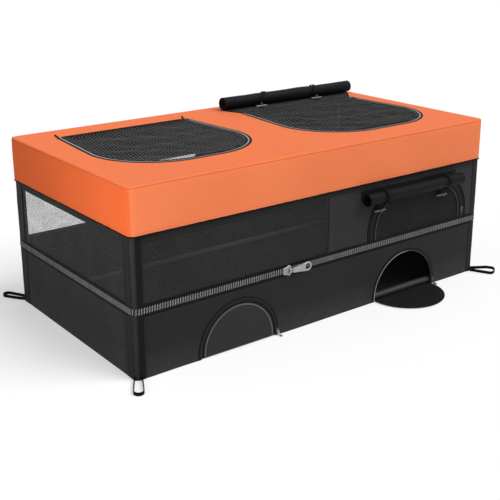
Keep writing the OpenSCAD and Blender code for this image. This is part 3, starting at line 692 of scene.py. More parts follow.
seamZip = {"core": 13.1, "lap": 1.4, "tape": 0.5, "behind": 0.7, "coilOut": 0.45,
           "coil": {"pitch": 5.9, "wide": 1.1, "deep": 2.6, "wire": 0.9, "steps": 12, "power": 0.6}}
zipHalves = {"lower": ("base", 130.4, 1, 141.0),  # body, tape edge, way, coil height
             "upper": ("cover", 157.6, -1, 147.4)}
ringCounts = (120, 8, 60, 8, 120, 8, 60, 8)
ringSteps = [np.linspace(a, b, n, endpoint=False) for a, b, n in zip(ringMarks, ringMarks[1:], ringCounts)]
ringSteps = np.concatenate(ringSteps)
tapeRise = np.array([0, 0.4, 1.0, 3.5, 6.0, 6.6, 7.0, 7.4, 10.0, seamZip["core"]])  # from its free edge
tapeOut = np.array([0.2, 0.7, 0.8, 0.8, 0.8, 0.5, -0.6, -1.7, -1.7, -1.7])
offFront = ramp(ringSteps, ringMarks[1], 20) * ramp(ringMarks[-1] - ringSteps, 0, 20)  # zero along the front
for level, (body, start, way, middle) in zipHalves.items():
    step = seamZip["behind"] * (way < 0) * offFront[:, None] * (tapeRise > 7.2)
    grid = onRing(ringSteps, start + way * tapeRise, tapeOut - step)
    grid[:, -1, 2] += seamZip["lap"] * (way > 0) * offFront
    points, faces = patch(grid, True)
    addPiece(level + "ZipTape", (points, faces[:, ::way]), body, tapeCloth,
             [level + "_zip_tape"], seamZip["tape"], sharp=60)
    wound = coil(ringLine(middle, seamZip["coilOut"], 4000), upward, closed=True, **seamZip["coil"])
    addPiece(level + "ZipCoil", wound, body, coilGrey, [level + "_zip_chain"], sharp=80)

zipSlider = {"x": -121.0, "z": 144.0, "long": 21.0, "high": 25.0, "inner": 2.9, "thick": 2.4, "bar": 6.3,
             "barOut": 8.8, "barHalf": 5.0, "barRadius": 1.6, "cheek": 4.6, "cheekSize": (4.4, 1.6),
             "web": (8.4, 0.8)}
plateShares = np.array([[-0.5, -0.3], [-0.5, 0.3], [-0.1, 0.36], [0.25, 0.5], [0.5, 0.34], [0.42, 0],
                        [0.5, -0.34], [0.25, -0.5], [-0.1, -0.36]])


def plate(shape, low, high, bevel, a0, z0, crown=0.0):
    # an outline on the front with rounded rims: rings drawn in by the bevel at both faces, then closed
    middle = shape.mean(0)
    away = np.linalg.norm(shape - middle, axis=1, keepdims=True)
    drawn = (1, np.clip(bevel / away, 0, 1), 0)
    rings = np.stack([shape + (middle - shape) * share for share in (*drawn, *drawn[:0:-1], 0.5, 1)], 1)
    levels = np.array([low, low, low + bevel, high - bevel, high, high + crown, high + crown])
    return patch(onFront(rings + [a0, z0], levels), True)


def softened(shape, count=72, rounds=3):
    # a polygon resampled evenly and averaged with its neighbours, which rounds its corners
    line = resample(shape, count, closed=True)
    for k in range(rounds):
        line = (np.roll(line, 1, 0) + 2 * line + np.roll(line, -1, 0)) / 4
    return line


unitSquare = np.array([[-1, -1], [1, -1], [1, 1], [-1, 1]])


def block(wide, high, count=24, rounds=1):
    # a rectangle with its corners softened
    return softened(unitSquare * [wide / 2, high / 2], count, rounds)


def barBetween(a, b, r, count=12):
    # a round bar with domed ends: the radius follows a quarter ellipse at each end
    a, b = np.array(a, float), np.array(b, float)
    t = np.concatenate([[0, 0.01, 0.03], np.linspace(0.06, 0.94, 8), [0.97, 0.99, 1]])
    size = r * np.sqrt(np.clip(1 - ramp(np.abs(2 * t - 1), 0.88, 0.12) ** 2, 0.02, 1))
    steep = abs(b[2] - a[2]) > 0.9 * np.linalg.norm(b - a)
    return sweep(a + t[:, None] * (b - a), circle(size, count), (0, 1, 0) if steep else upward)


def sliderBar(half, r):
    # an upright bar over the slider's outer plate
    s = zipSlider
    return barBetween(*onWall("front", s["x"] + s["bar"], s["z"] + np.array([-half, half]), s["barOut"]), r)


def sliderBody():
    # two shield plates joined by a web, with two cheeks and a bar over the outer plate
    s = zipSlider
    x, z, inner, outer = s["x"], s["z"], s["inner"], s["inner"] + s["thick"]
    shield = softened(plateShares * [s["long"], s["high"]])
    parts = [plate(shield, inner, outer, 0.6, x, z, 0.5), plate(shield, -outer, -inner, 0.6, x, z),
             plate(block(*s["web"]), -inner - 0.6, inner + 0.6, 0.1, x, z)]
    cheek = block(*s["cheekSize"])
    for away in (-s["cheek"], s["cheek"]):
        parts.append(plate(cheek, inner + 1.6, s["barOut"] + 1.0, 0.3, x + s["bar"], z + away))
    return join(*parts, sliderBar(s["barHalf"], s["barRadius"]))


zipPull = {"from": 6.4, "to": 58.0, "neck": 11.0, "end": 21.0, "hole": 13.0, "thick": 2.0, "bevel": 0.5,
           "eye": 3.5, "eyeRadius": 2.6, "arm": 2.6, "armHalf": 0.95}


def pullBody():
    # a loop of thickness round the hole: for each direction from the hole's middle, out to the rim and back
    s, p = zipSlider, zipPull
    x, r, neck = p["to"] - p["end"] / 2, p["end"] / 2, p["neck"] / 2
    t = np.linspace(-math.pi / 2, math.pi / 2, 40)
    roundEnd = np.stack([x + r * np.cos(t), r * np.sin(t)], -1)
    rim = softened(np.concatenate([[[p["from"], -neck]], roundEnd, [[p["from"], neck]]]), 120, 2)
    turn = np.arctan2(rim[:, 1], rim[:, 0] - x)
    ring = np.stack([x + p["hole"] / 2 * np.cos(turn), p["hole"] / 2 * np.sin(turn)], -1)
    away = rim - ring
    away /= np.linalg.norm(away, axis=1, keepdims=True)
    b, half = p["bevel"], p["thick"] / 2
    inner, outer = [ring, ring + away * b], [rim - away * b, rim]
    levels = s["barOut"] + np.array([b - half, -half, -half, b - half, half - b, half, half, half - b])
    grid = np.stack(inner + outer + outer[::-1] + inner[::-1], 1)
    foot = s["x"] + s["bar"]
    body = patch(onFront(grid + [foot, s["z"]], levels), True, True)
    arm = softened(np.array([[0.0, -1.0], [9.0, -1.4], [9.0, 1.4], [0.0, 1.0]]), 40, 2)
    arms = [plate(arm, s["barOut"] - p["armHalf"], s["barOut"] + p["armHalf"], 0.3, foot, s["z"] + z)
            for z in (-p["arm"], p["arm"])]
    return join(body, sliderBar(p["eye"], p["eyeRadius"]), *arms)


addPiece("zipSliderBody", sliderBody(), "zip_slider", metal, ["zip_slider"], sharp=35)
addPiece("zipPullTab", pullBody(), "zip_pull", metal, ["zip_pull"], sharp=35)
print("seam zip")


# Pop doors

flapRows = np.array([0, 0.25, 0.5, 0.7, 0.82, 0.86, 0.885, 0.9, 0.915, 0.94, 0.97, 0.99, 1])
flapOut = np.array([0.85, 0.85, 0.84, 0.82, 0.8, 0.75, 0.6, 0.1, -0.35, -0.5, -0.6, -0.7, -1.0])
flapBack = -1.7
binding = {"rows": [0, 0.1, 0.5, 0.9, 1], "out": [0.1, 0.35, 0.2, 0.0, -0.4],
           "in": [-0.6, -0.7, -0.8, -0.9, -0.95], "edges": (popDoor["pad"] + 3.0, popDoor["flap"] - 0.4)}
blackTeeth = {"pitch": 2.2, "wide": 0.8, "deep": 0.3, "wire": 0.35}


def popLine(r, low, count):
    # a line round a pop door at a radius, from a height above the floor
    return resample(archLine(r, popDoor["leg"], low), count)


def flapForm():
    # rays from the middle of the lower edge to the arch; the facing is a step out over most of each ray
    low = popDoor["hinge"][1]
    grid = across(np.array([0.0, low]), popLine(popDoor["flap"], low, 90), flapRows)
    return slab(onFront(grid, flapOut), onFront(grid, flapBack))


def letDown(made):
    # turned a quarter about the hinge line, out and down onto the ground
    points, faces = made
    y, z = popDoor["hinge"]
    return np.stack([points[:, 0], y - (points[:, 2] - z), z + points[:, 1] - y], -1), faces


hingeBead = barBetween((-popDoor["flap"], *popDoor["hinge"]), (popDoor["flap"], *popDoor["hinge"]), 0.8)
ringFlat = across(*(popLine(r, 3.6, 120) for r in binding["edges"]), binding["rows"])
bound = slab(*(onFront(ringFlat, binding[k]) for k in ("out", "in")))
padLine = onFront(popLine(popDoor["pad"] + 2.0, 4.2, 120), 0.3)
edgeLine = onFront(popLine(popDoor["flap"] - 1.6, 4.0, 200), -0.35)
flapPieces = {
    "Flap": (join(flapForm(), hingeBead), flapCloth, "black_fabric", 50),
    "FlapBinding": (bound, darkPiping, "webbing", 60),
    "FlapPiping": (sweep(padLine, strap(3.8, 1.7), outFront), greyPiping, "webbing", 60),
    "FlapCoil": (coil(edgeLine, outFront, **blackTeeth), coilBlack, "zip_chain", 80),
}
for side, x in popSides.items():
    for part, ((points, faces), finish, slot, sharp) in flapPieces.items():
        made = (points + [x, 0, 0], faces)
        made, outside = (made, outFront) if side == "Left" else (letDown(made), (0, 0, -1))
        nodes, lining = (["pop_flap_" + side.lower()], liningCloth) if part == "Flap" else ([], None)
        piece = addPiece("pop" + part + side, made, "pop_door_" + side.lower(), finish, nodes, 0,
                         outside, sharp, lining)
        if part == "Flap":
            "pop_zip_" + side.lower()

popZip = {"inner": 97.0, "outer": 104.0, "teeth": 99.0, "rim": 103.4, "low": 0.8, "thick": 0.4,
          "rows": [0, 0.1, 0.3, 0.6, 0.85, 0.95, 1], "out": [0.1, 0.55, 0.65, 0.65, 0.6, 0.5, 0.05]}
strip = across(popLine(popZip["inner"], 0.0, 120), popLine(popZip["outer"], 0.0, 120), popZip["rows"])
toothLine = popLine(popZip["teeth"], popZip["low"], 240)
rimLine = popLine(popZip["rim"], popZip["low"], 140)
for side, x in popSides.items():
    addPiece("popZipTape" + side, patch(onFront(strip, popZip["out"], x)), "base", popTape,
             ["pop_zip_" + side.lower()], popZip["thick"], outFront, 60)
    teeth = coil(onFront(toothLine, 1.0, x), outFront, **blackTeeth)
    addPiece("popZipCoil" + side, teeth, "base", coilBlack, sharp=80)
    rim = sweep(onFront(rimLine, 0.6, x), circle(0.8), outFront)
    addPiece("popZipRim" + side, rim, "base", darkPiping, sharp=80)
# the right hole's rim, with a painted highlight along its left side
holeEdge = onFront(popLine(popDoor["hole"] + 0.9, 0.9, 160), 0.3, popDoor["x"])
holeEdge = sweep(holeEdge, circle(1.1), outFront)
addPiece("popHoleEdgeRight", holeEdge, "base", highlightEdgePiping, sharp=80)

clasp = {"thick": 1.2, "bevel": 0.3, "tabDrop": 7.0}
popClasp = {"z": 11.0, "parts": ((8.8, 12.0, 1.85, 3.0, 0.3, 100.8),  # wide, high, from, to, bevel, place
                                 (4.0, 6.0, 2.4, 3.6, 0.3, 100.8), (0.5, 11.6, -1.9, 2.2, 0.1, 96.5))}
popPull = {"places": (101.5, 104.0), "z": np.array([12.0, 7.5, 4.0, 1.9, 1.3, 1.2]),
           "out": np.array([3.4, 4.0, 5.0, 7.5, 11.0, 15.0]), "thick": 1.0, "wide": 6.0}


def smallSlider(a, z, low, wide, high, tabWide, tabHigh):
    # a rounded clasp plate with a raised saddle and a thin tab that ends in a rounded grip
    top, bevel = low + clasp["thick"], clasp["bevel"]
    saddle = block(0.5 * wide, 0.45 * high, 36, 3)
    return join(plate(block(wide, high, 48, 3), low, top, bevel, a, z),
                plate(saddle, low + 0.5 * clasp["thick"], top + 0.5, 0.25, a, z),
                plate(block(tabWide, tabHigh, 48, 4), low, top, bevel, a, z - clasp["tabDrop"]))


def popSlider(x):
    # the clasp over the zip's strip with the web in the gap beside the flap
    return join(*(plate(block(wide, high, 40, 2), low, top, bevel, x + a, popClasp["z"])
                  for wide, high, low, top, bevel, a in popClasp["parts"]))


def popTab(x):
    # a flat tab that hangs from the clasp and bends out onto the ground
    start, end = np.add(popPull["places"], x)
    line = onWall("front", np.linspace(start, end, 6), popPull["z"], popPull["out"])
    return sweep(resample(line, 30), strap(popPull["thick"], popPull["wide"]), (1, 0, 0))


for side, x in popSides.items():
    body = "pop_slider_" + side.lower()
    addPiece("popSliderBody" + side, popSlider(x), body, darkMetal, [body], sharp=35)
    finish = metal if side == "Left" else darkMetal
    addPiece("popSliderTab" + side, popTab(x), body, finish, sharp=60)
print("pop doors")


# Stake loops

stakeLoop = {"start": 8.8, "far": 64.0, "radius": 9.8, "thick": 2.2, "wide": 7.4, "angle": 60.0, "lift": 3.9,
             "twist": {-1: 0.0, 1: 0.36}}


def loopLine():
    # leaves the corner, swells to the eye's width on the way, rounds the eye, and back
    far, r, start = stakeLoop["far"], stakeLoop["radius"], stakeLoop["start"]
    t = np.linspace(0, 1, 40)
    y = r * np.sin(math.pi / 2 * (0.48 + 0.52 * t)) ** 0.8
    side = np.stack([start + t * (far - start), y], -1)
    turn = np.linspace(math.pi / 2, -math.pi / 2, 40)
    eye = np.stack([far + r * np.cos(turn), r * np.sin(turn)], -1)
    return resample(np.concatenate([side[:-1], eye, (side * [1, -1])[-2::-1]]), 120)


def stakeLoops():
    # the same loop at each corner, turned away from it, with its webbing on edge, twisted open at the right
    a, b = loopLine().T
    turn = math.radians(stakeLoop["angle"])
    x = a * math.cos(turn) - b * math.sin(turn)
    y = a * math.sin(turn) + b * math.cos(turn)
    lift = stakeLoop["lift"] + 0.7 * np.exp(-(np.hypot(x, y) - 11) / 12)
    loops = []
    for sx, sy in ((-1, -1), (-1, 1), (1, -1), (1, 1)):
        z = lift + stakeLoop["twist"][sx] * (stakeLoop["radius"] - b) * np.clip(a / 40 - 0.3, 0, 1)
        path = np.stack([sx * (outline["halfX"] + x), sy * (outline["halfY"] + y), z], -1)
        loops.append(sweep(path, strap(stakeLoop["thick"], stakeLoop["wide"])))
    return join(*loops)


addPiece("stakeLoopWebbing", stakeLoops(), "base", webCloth, ["stake_loops"], sharp=60)
print("stake loops")


# Cover: roof, skirts, piping and band

roof = {"edge": 3.0, "thick": 1.2, "sag": 0.7, "groove": 0.6, "halfX": 500.0, "halfY": 263.0, "radius": 14.0}
roofRows = np.array([0, 0.02, 0.06, 0.12, 0.2, 0.3, 0.4, 0.5, 0.6, 0.7, 0.8, 0.88, 0.95, 1])
rimTurn = np.radians([0, 15, 30, 45, 60, 75, 88, 90, 90])
rimDraw = np.array([0, 0, 0, 0, 0, 0, 0.2, 0.6, 1.4])
rimDrop = np.array([0, 0, 0, 0, 0, 0, 0, 0.6, 1.0])
windows = {
    "left": {"x": -248.0, "back": 186.0, "wide": 372.0, "deep": 341.0, "radius": 150.0, "draw": 16.0},
    "right": {"x": 257.0, "back": 150.0, "wide": 400.0, "deep": 331.0, "radius": 150.0, "draw": 16.0},
}


def windowLine(window, inset, back):
    # straight back edge, sides that lean out from it, round front corners; from back left to back right
    half = window["wide"] / 2 - inset
    line = roundedLine(half - window["draw"], half, window["deep"] - inset, window["radius"] - inset, back)
    return line * [1, -1] + [window["x"], window["back"]]


def windowSections(window, inset, back):
    # left side, front, right side and back of that outline
    line, (first, last) = windowLine(window, inset, back), roundedCuts
    return [line[: first + 1], line[first: last + 1], line[last:], line[[-1, 0]]]


def roofCell(side):
    # half of the roof round its window, then the rim that rolls over the edge to the seam
    e, sign = roof["edge"], 1 if side == "right" else -1
    hx, hy, r = roof["halfX"] - e, roof["halfY"] - e, roof["radius"] - e
    marks = []
    for k, (x, y) in enumerate(((-1, 1), (-1, -1), (1, -1), (1, 1))):  # back left and on round the front
        t = math.pi / 2 * (1 + k + np.linspace(0, 1, 13))
        if x == sign:
            marks.append(np.stack([x * (hx - r) + r * np.cos(t), y * (hy - r) + r * np.sin(t)], -1))
        else:
            marks.append(np.broadcast_to([0.0, y * hy], (13, 2)))
    edges = [np.concatenate([marks[k][6:], marks[(k + 1) % 4][:7]]) for k in range(4)]
    count = 90
    flat = between(windowSections(windows[side], 0.0, 0.0), edges, [count] * 4, roofRows, True)
    sag = ripple(flat[..., 0], flat[..., 1], 71, 120, 400) - 0.6
    field = atHeight(flat, heights["roof"] + roof["sag"] * sag * np.sin(math.pi * roofRows) ** 1.5)
    run = [3, 0, 1] if side == "left" else [1, 2, 3]
    rim = np.concatenate([resample(edges[k], count, True)[:-1] for k in run] + [edges[run[-1]][-1:]])
    ahead = np.gradient(rim, axis=0)
    outward = np.stack([ahead[:, 1], -ahead[:, 0]], -1) / np.linalg.norm(ahead, axis=1, keepdims=True)
    over = e * np.sin(rimTurn) - roof["groove"] * rimDraw
    rolled = rim[:, None] + outward[:, None] * over[None, :, None]
    drop = e * (1 - np.cos(rimTurn)) + rimDrop
    return join(patch(field), patch(atHeight(rolled, heights["roof"] - drop)))


roofCut = roof["halfX"] * roof["halfY"] * 4
windowCut = sum(0.92 * w["wide"] * w["deep"] for w in windows.values())
piece = addPiece("roofSheet", join(roofCell("left"), roofCell("right")), "cover", orangeTop,
                 ["roof_panel"], roof["thick"], upward, 50, liningCloth)
(roofCut - windowCut) * mm * mm

skirt = {"out": 3.0, "thick": 1.4, "belly": 1.0, "wave": 0.45, "pucker": 0.3, "low": 298.2, "high": 391.4}
skirtRows = np.concatenate([[0, 0.006, 0.015, 0.03, 0.05], np.linspace(0.08, 0.92, 16),
                            [0.95, 0.975, 0.99, 1]])


def skirtSheet(k):
    # from seam to seam: drawn in at the seams, a slight belly, slack ripples and small gathers along the hem
    t = (1 - np.cos(math.pi * np.linspace(0, 1, 160 if k % 2 else 260))) / 2
    s = corners[k] + t * (corners[k + 1] - corners[k])
    z = skirt["low"] + skirtRows * (skirt["high"] - skirt["low"])
    a, b = spread(s, z)
    seam, hem, top = np.minimum(s - s[0], s[-1] - s)[:, None], b - skirt["low"], skirt["high"] - b
    drawn = roof["groove"] * (bell(seam, 1.6) + bell(top, 1.3) * 1.2)
    calm = ramp(seam, 0, 40) * ramp(top, 0, 20)
    slack = skirt["wave"] * ripple(a, b, 80 + k, 110, 380) * calm * ramp(hem, 0, 12)
    gathers = skirt["pucker"] * ripple(a, 0.2 * b, 90 + k, 14, 34) * np.exp(-hem / 9) * calm
    belly = skirt["belly"] * np.sin(math.pi * skirtRows)[None] ** 0.7 * ramp(seam, 0, 15)
    return patch(onRing(s, z, skirt["out"] + belly + slack + gathers - drawn))


for k, side in enumerate(walls):
    # painted shade on the side skirts, painted haze on the front and back ones
    cloth = orangeSidePaintedShade if k % 2 else orangeFrontPaintedHaze
    piece = addPiece("skirt" + side.title(), skirtSheet(k), "cover", cloth,
                     ["skirt_" + side], skirt["thick"], walls[side][1], 50, liningCloth)
    2 * walls[side][3] * mm

skirtPiping = {"z": 296.6, "out": 2.6, "radius": 1.7}
piping = ringLine(skirtPiping["z"], skirtPiping["out"], 900)
piping = sweep(piping, circle(skirtPiping["radius"], 12), closed=True)
addPiece("skirtPiping", piping, "cover", darkPiping, ["skirt_piping"], sharp=80)
for k, side in enumerate(walls):
    end = wallEnd(side)
    plainWall("band", side, heights["bandLow"], heights["bandTop"], -end, end, 100 + k, "cover", bandCloth,
              "upper_band", 1.0)
print("cover: roof, skirts, piping, band")


# Mesh panels

fineYarn = {"wide": 6.6, "high": 4.6, "strand": 0.62, "knot": 0.95, "sag": 0.8, "behind": 1.3}
roofKnit = {"left": {"wide": 7.6, "high": 36.0, "strand": 0.75, "knot": 4.0, "sag": 1.2, "fold": 0.7},
            "right": {"wide": 9.8, "high": 44.0, "strand": 0.9, "knot": 5.0, "sag": 1.2, "fold": 1.1}}


def within(shape, x, y):
    # tests points against an outline by counting the edges that a line to the right crosses
    a, b = shape, np.roll(shape, -1, 0)
    above = (a[:, 1] > y[:, None]) != (b[:, 1] > y[:, None])
    rise = np.where(b[:, 1] == a[:, 1], 1e-9, b[:, 1] - a[:, 1])
    meets = a[:, 0] + (y[:, None] - a[:, 1]) / rise * (b[:, 0] - a[:, 0])
    return (above & (x[:, None] < meets)).sum(1) % 2 == 1


def hexNet(net, wide, high, place, shape=None):
    # zigzag strands side by side, each the mirror of the next, touching at short knots; then tubes of three
    # sides, with the place in the knit, in meshes across and up, for the yarn's colour; a shape keeps what
    # lies within it
    step, rise, thick = net["wide"] / 2, net["high"] / 2, net["strand"]
    count, up = int(wide / step) + 1, int(high / rise)
    level = np.repeat(np.arange(up + 1) * rise, 2) + np.tile([-0.5, 0.5], up + 1) * net["knot"]
    swing = np.repeat((-1.0) ** np.arange(up + 1), 2)
    x = (np.arange(count) - (count - 1) / 2) * step
    flip = (-1.0) ** np.arange(count)
    px = x[:, None] + flip[:, None] * swing[None] * (step / 2 - 0.35 * thick)
    py = np.broadcast_to(np.clip(level, 0, up * rise), px.shape)
    ahead = np.stack([np.gradient(px, axis=1), np.gradient(py, axis=1)], -1)
    ahead /= np.linalg.norm(ahead, axis=-1, keepdims=True)
    turn = tau * np.arange(3) / 3 + 0.5
    u = px[..., None] - ahead[..., 1:] * np.cos(turn) * thick / 2
    v = py[..., None] + ahead[..., :1] * np.cos(turn) * thick / 2
    w = np.broadcast_to(np.sin(turn) * thick / 2, u.shape)
    nodes = px.shape[1]
    faces = gridFaces(nodes, 3, False, True)[None] + (np.arange(count) * nodes * 3)[:, None, None]
    faces = faces.reshape(-1, 4)
    points = place(u, v, w).reshape(-1, 3)
    knit = np.stack([(u - x[0]) / net["wide"] - 0.25, v / net["high"]], -1).reshape(-1, 2)
    if shape is not None:
        inside = np.repeat(within(shape, px.ravel(), py.ravel()), 3)
        faces = faces[inside[faces].all(1)]
        used, faces = np.unique(faces, return_inverse=True)
        points, faces, knit = points[used], faces.reshape(-1, 4), knit[used]
    return points, faces, knit


def wallNet(side, left, right, low, high, seed):
    # a net stretched behind the wall's face, with a little slack
    def place(u, v, w):
        a, z = u + (left + right) / 2, v + low
        slack = ripple(a, z, seed, 60, 200) * fade(a, left, right, 40) * fade(z, low, high, 30)
        return onWall(side, a, z, w - fineYarn["behind"] + fineYarn["sag"] * slack)
    return hexNet(fineYarn, right - left, high - low, place)


wallNets = {"left": (sideYarn, -226.0, 226.0, 118), "front": (netYarn, -477.0, 6.0, 119),
            "back": (netYarn, -6.0, 477.0, 118)}  # yarn, ends, seed
for side, (strand, left, right, seed) in wallNets.items():
    addPiece("mesh" + side.title(), wallNet(side, left, right, 151.0, 285.0, seed), "cover", strand,
             ["mesh_" + side])
print("mesh panels")


# Solid upper panels and the strips over their seams

upperPanel = {"thick": 1.4, "left": 3.0, "high": 132.0, "windowArea": 0.0296}
panelEnds = {"right": (-wallEnd("right"), wallEnd("right")), "back": (-wallEnd("back"), -5.0)}
for side, (left, right) in panelEnds.items():
    plainWall("upperPanel", side, heights["upperLow"], heights["bandLow"], left, right, 120, "cover",
              panelCloth, "upper_panel_" + side, upperPanel["thick"])

frontWindow = {"x": 286.0, "half": 168.0, "low": 157.6, "top": 275.0, "radius": 100.0, "hole": 13.5,
               "tape": 27.0, "mesh": (316.0, 114.0)}


def windowArch(inset, low):
    # two legs, round upper corners and a straight top, from the left foot to the right one
    f = frontWindow
    half = f["half"] - inset
    return roundedLine(half, half, f["top"] - inset, f["radius"] - inset, low) + [f["x"], 0]


def frontPanel():
    # the field round the arched window, slack between its edges and tucked in at the sleeve
    rows = [0, 0.04, 0.12, 0.25, 0.4, 0.6, 0.8, 0.93, 1]
    low, high, end = heights["upperLow"], heights["bandLow"] + 2, wallEnd("front")
    field = roundArch(windowArch(frontWindow["hole"], low), roundedCuts, upperPanel["left"], end, low, high,
                      (30, 60, 30), rows)
    a, z = field[..., 0], field[..., 1]
    calm = np.clip(np.sin(math.pi * np.linspace(0, 1, len(rows))), 0, 1)[None]
    tucked = wallSheet["tuck"] * np.clip(1 - (end - a) / 9, 0, 1) ** 2
    return patch(onFront(field, 0.5 * ripple(a, z, 121, 60, 200) * calm - tucked))


piece = addPiece("upperPanelFront", frontPanel(), "cover", panelCloth, ["upper_panel_front"],
                 upperPanel["thick"], outFront, lining=liningCloth)
panelWide, panelHigh = wallEnd("front") - upperPanel["left"], upperPanel["high"]
declareWall(panelWide, panelHigh, area=panelWide * panelHigh * mm * mm - upperPanel["windowArea"])

seamStrip = {"x": 5.0, "wide": 12.0, "low": 157.6, "high": 282.0, "out": 0.9, "back": -0.4,
             "shares": np.array([0, 0.06, 0.2, 0.5, 0.8, 0.94, 1]),
             "rise": np.array([0.2, 0.8, 1, 0.8, 1, 0.8, 0.2])}
strips = []
for side, middle in (("front", seamStrip["x"]), ("back", -seamStrip["x"])):
    a, z = spread(middle + seamStrip["wide"] * (seamStrip["shares"] - 0.5),
                  np.linspace(seamStrip["low"], seamStrip["high"], 30))
    strips.append(slab(onWall(side, a, z, seamStrip["out"] * seamStrip["rise"][:, None]),
                       onWall(side, a, z, seamStrip["back"])))
addPiece("seamStrips", join(*strips), "cover", panelCloth, ["seam_strips"], sharp=60)


# Front window: mesh, zip tape, piping, slider

def placeWindowNet(u, v, w):
    # flat behind the wall's face
    return onWall("front", u + frontWindow["x"], v + heights["upperLow"], w - fineYarn["behind"])


def archAt(inset, out, count, low=frontWindow["low"]):
    # a line round the window on the wall's face
    return onFront(resample(windowArch(inset, low), count), out)


windowShape = windowArch(frontWindow["hole"] - 2, heights["upperLow"])
windowShape = windowShape - [frontWindow["x"], heights["upperLow"]]
windowNet = hexNet(fineYarn, *frontWindow["mesh"], placeWindowNet, windowShape)
addPiece("windowMesh", windowNet, "cover", windowYarn, ["window_mesh"])
windowTape = {"rows": [0, 0.02, 0.08, 0.2, 0.42, 0.46, 0.5, 0.54, 0.58, 0.8, 0.92, 0.98, 1], "thick": 0.5,
              "out": [0.1, 0.6, 0.95, 0.95, 0.95, 0.7, 0.55, 0.7, 0.95, 0.95, 0.95, 0.6, 0.1],
              "piping": 0.9, "coilOut": 0.75, "coil": {"pitch": 2.4, "wide": 1.0, "deep": 0.1, "wire": 0.4}}
outerArch, innerArch = (resample(windowArch(k, frontWindow["low"]), 160) for k in (0.0, frontWindow["tape"]))
strip = across(outerArch, innerArch, windowTape["rows"])
addPiece("windowZipTape", patch(onFront(strip, windowTape["out"])), "cover", tapeCloth,
         ["window_zip"], windowTape["thick"], outFront, 60)
for name, inset, out, finish in (("Inner", 26.0, 1.0, greyPiping), ("Outer", 1.2, 0.9, darkPiping)):
    piping = sweep(archAt(inset, out, 160), circle(windowTape["piping"]), outFront)
    addPiece("windowPiping" + name, piping, "cover", finish, sharp=80)
line = archAt(frontWindow["hole"], windowTape["coilOut"], 300, frontWindow["low"] + 1)
teeth = coil(line, outFront, **windowTape["coil"])
addPiece("windowCoil", teeth, "cover", coilBlack, sharp=80)
windowSlider = {"a": 440.5, "z": 175.0, "low": 1.3, "wide": 9.2, "high": 14.0, "tabWide": 4.6,
                "tabHigh": 14.0}
addPiece("windowSliderBody", smallSlider(**windowSlider), "window_slider", plastic,
         ["window_slider"], sharp=35)
print("upper panels and front window")


# Roof doors: binding, mesh, zip

roofDoor = {"zip": 5.0, "gap": 1.0, "hinge": 1.7, "rim": 9.0, "top": 395.6, "low": 394.0, "over": 396.1,
            "thick": 1.3, "bead": 1.2, "meshInset": 1.2, "rows": [0, 0.05, 0.15, 0.5, 0.85, 0.95, 1],
            "fall": np.array([0.9, 0.35, 0.1, 0, 0.1, 0.35, 0.9])}
roofZip = {"outer": -0.6, "inner": roofDoor["zip"] - 0.3, "thick": 0.5, "teeth": 2.9, "rim": -2.2,
           "rows": [0, 0.08, 0.25, 0.6, 0.9, 1], "out": np.array([0.15, 0.5, 0.55, 0.45, 0.3, -0.2]),
           "coil": {"pitch": 2.0, "wide": 1.3, "deep": 0.25, "wire": 0.42}}
folds = {"bend": 60, "pitch": 62, "slope": (0.4, 0.9)}
doorEdge = roofDoor["zip"] + roofDoor["gap"]


def roofNet(side, window):
    # lies over the binding, drops inside it and hangs slack in slanting folds; the depth is the distance in
    # from the outline
    knit, r, d = roofKnit[side], window["radius"], window["deep"]

    def place(u, v, w):
        lean = window["draw"] * ramp(v, r, d - r)
        sideGap, frontGap = np.abs(u) - window["wide"] / 2 + lean, -v
        corner = np.hypot(np.maximum(sideGap + r, 0), np.maximum(frontGap + r, 0)) - r
        nearest = np.where((sideGap > -r) & (frontGap > -r), corner, np.maximum(sideGap, frontGap))
        depth = -np.maximum(nearest, v - d)
        slack = knit["sag"] * ramp(depth, 20, 60) * (ripple(u, v, 130, 50, 170) - 0.5)
        run = folds["slope"][1] * v + folds["slope"][0] * u + folds["bend"] * ripple(u, v, 131, 220, 500)
        slack = slack + knit["fold"] * ramp(depth, 14, 40) * np.sin(tau * run / folds["pitch"])
        drop = np.clip((depth - doorEdge - roofDoor["rim"]) / 12, 0, 1)
        z = roofDoor["over"] + (roofDoor["low"] - roofDoor["over"]) * drop + slack
        return np.stack([u + window["x"], v + window["back"] - d, w + z], -1)

    inset = roofDoor["meshInset"]
    shape = windowLine(window, doorEdge + inset, roofDoor["hinge"] + inset)
    return hexNet(knit, window["wide"], d, place, shape - [window["x"], window["back"] - d])


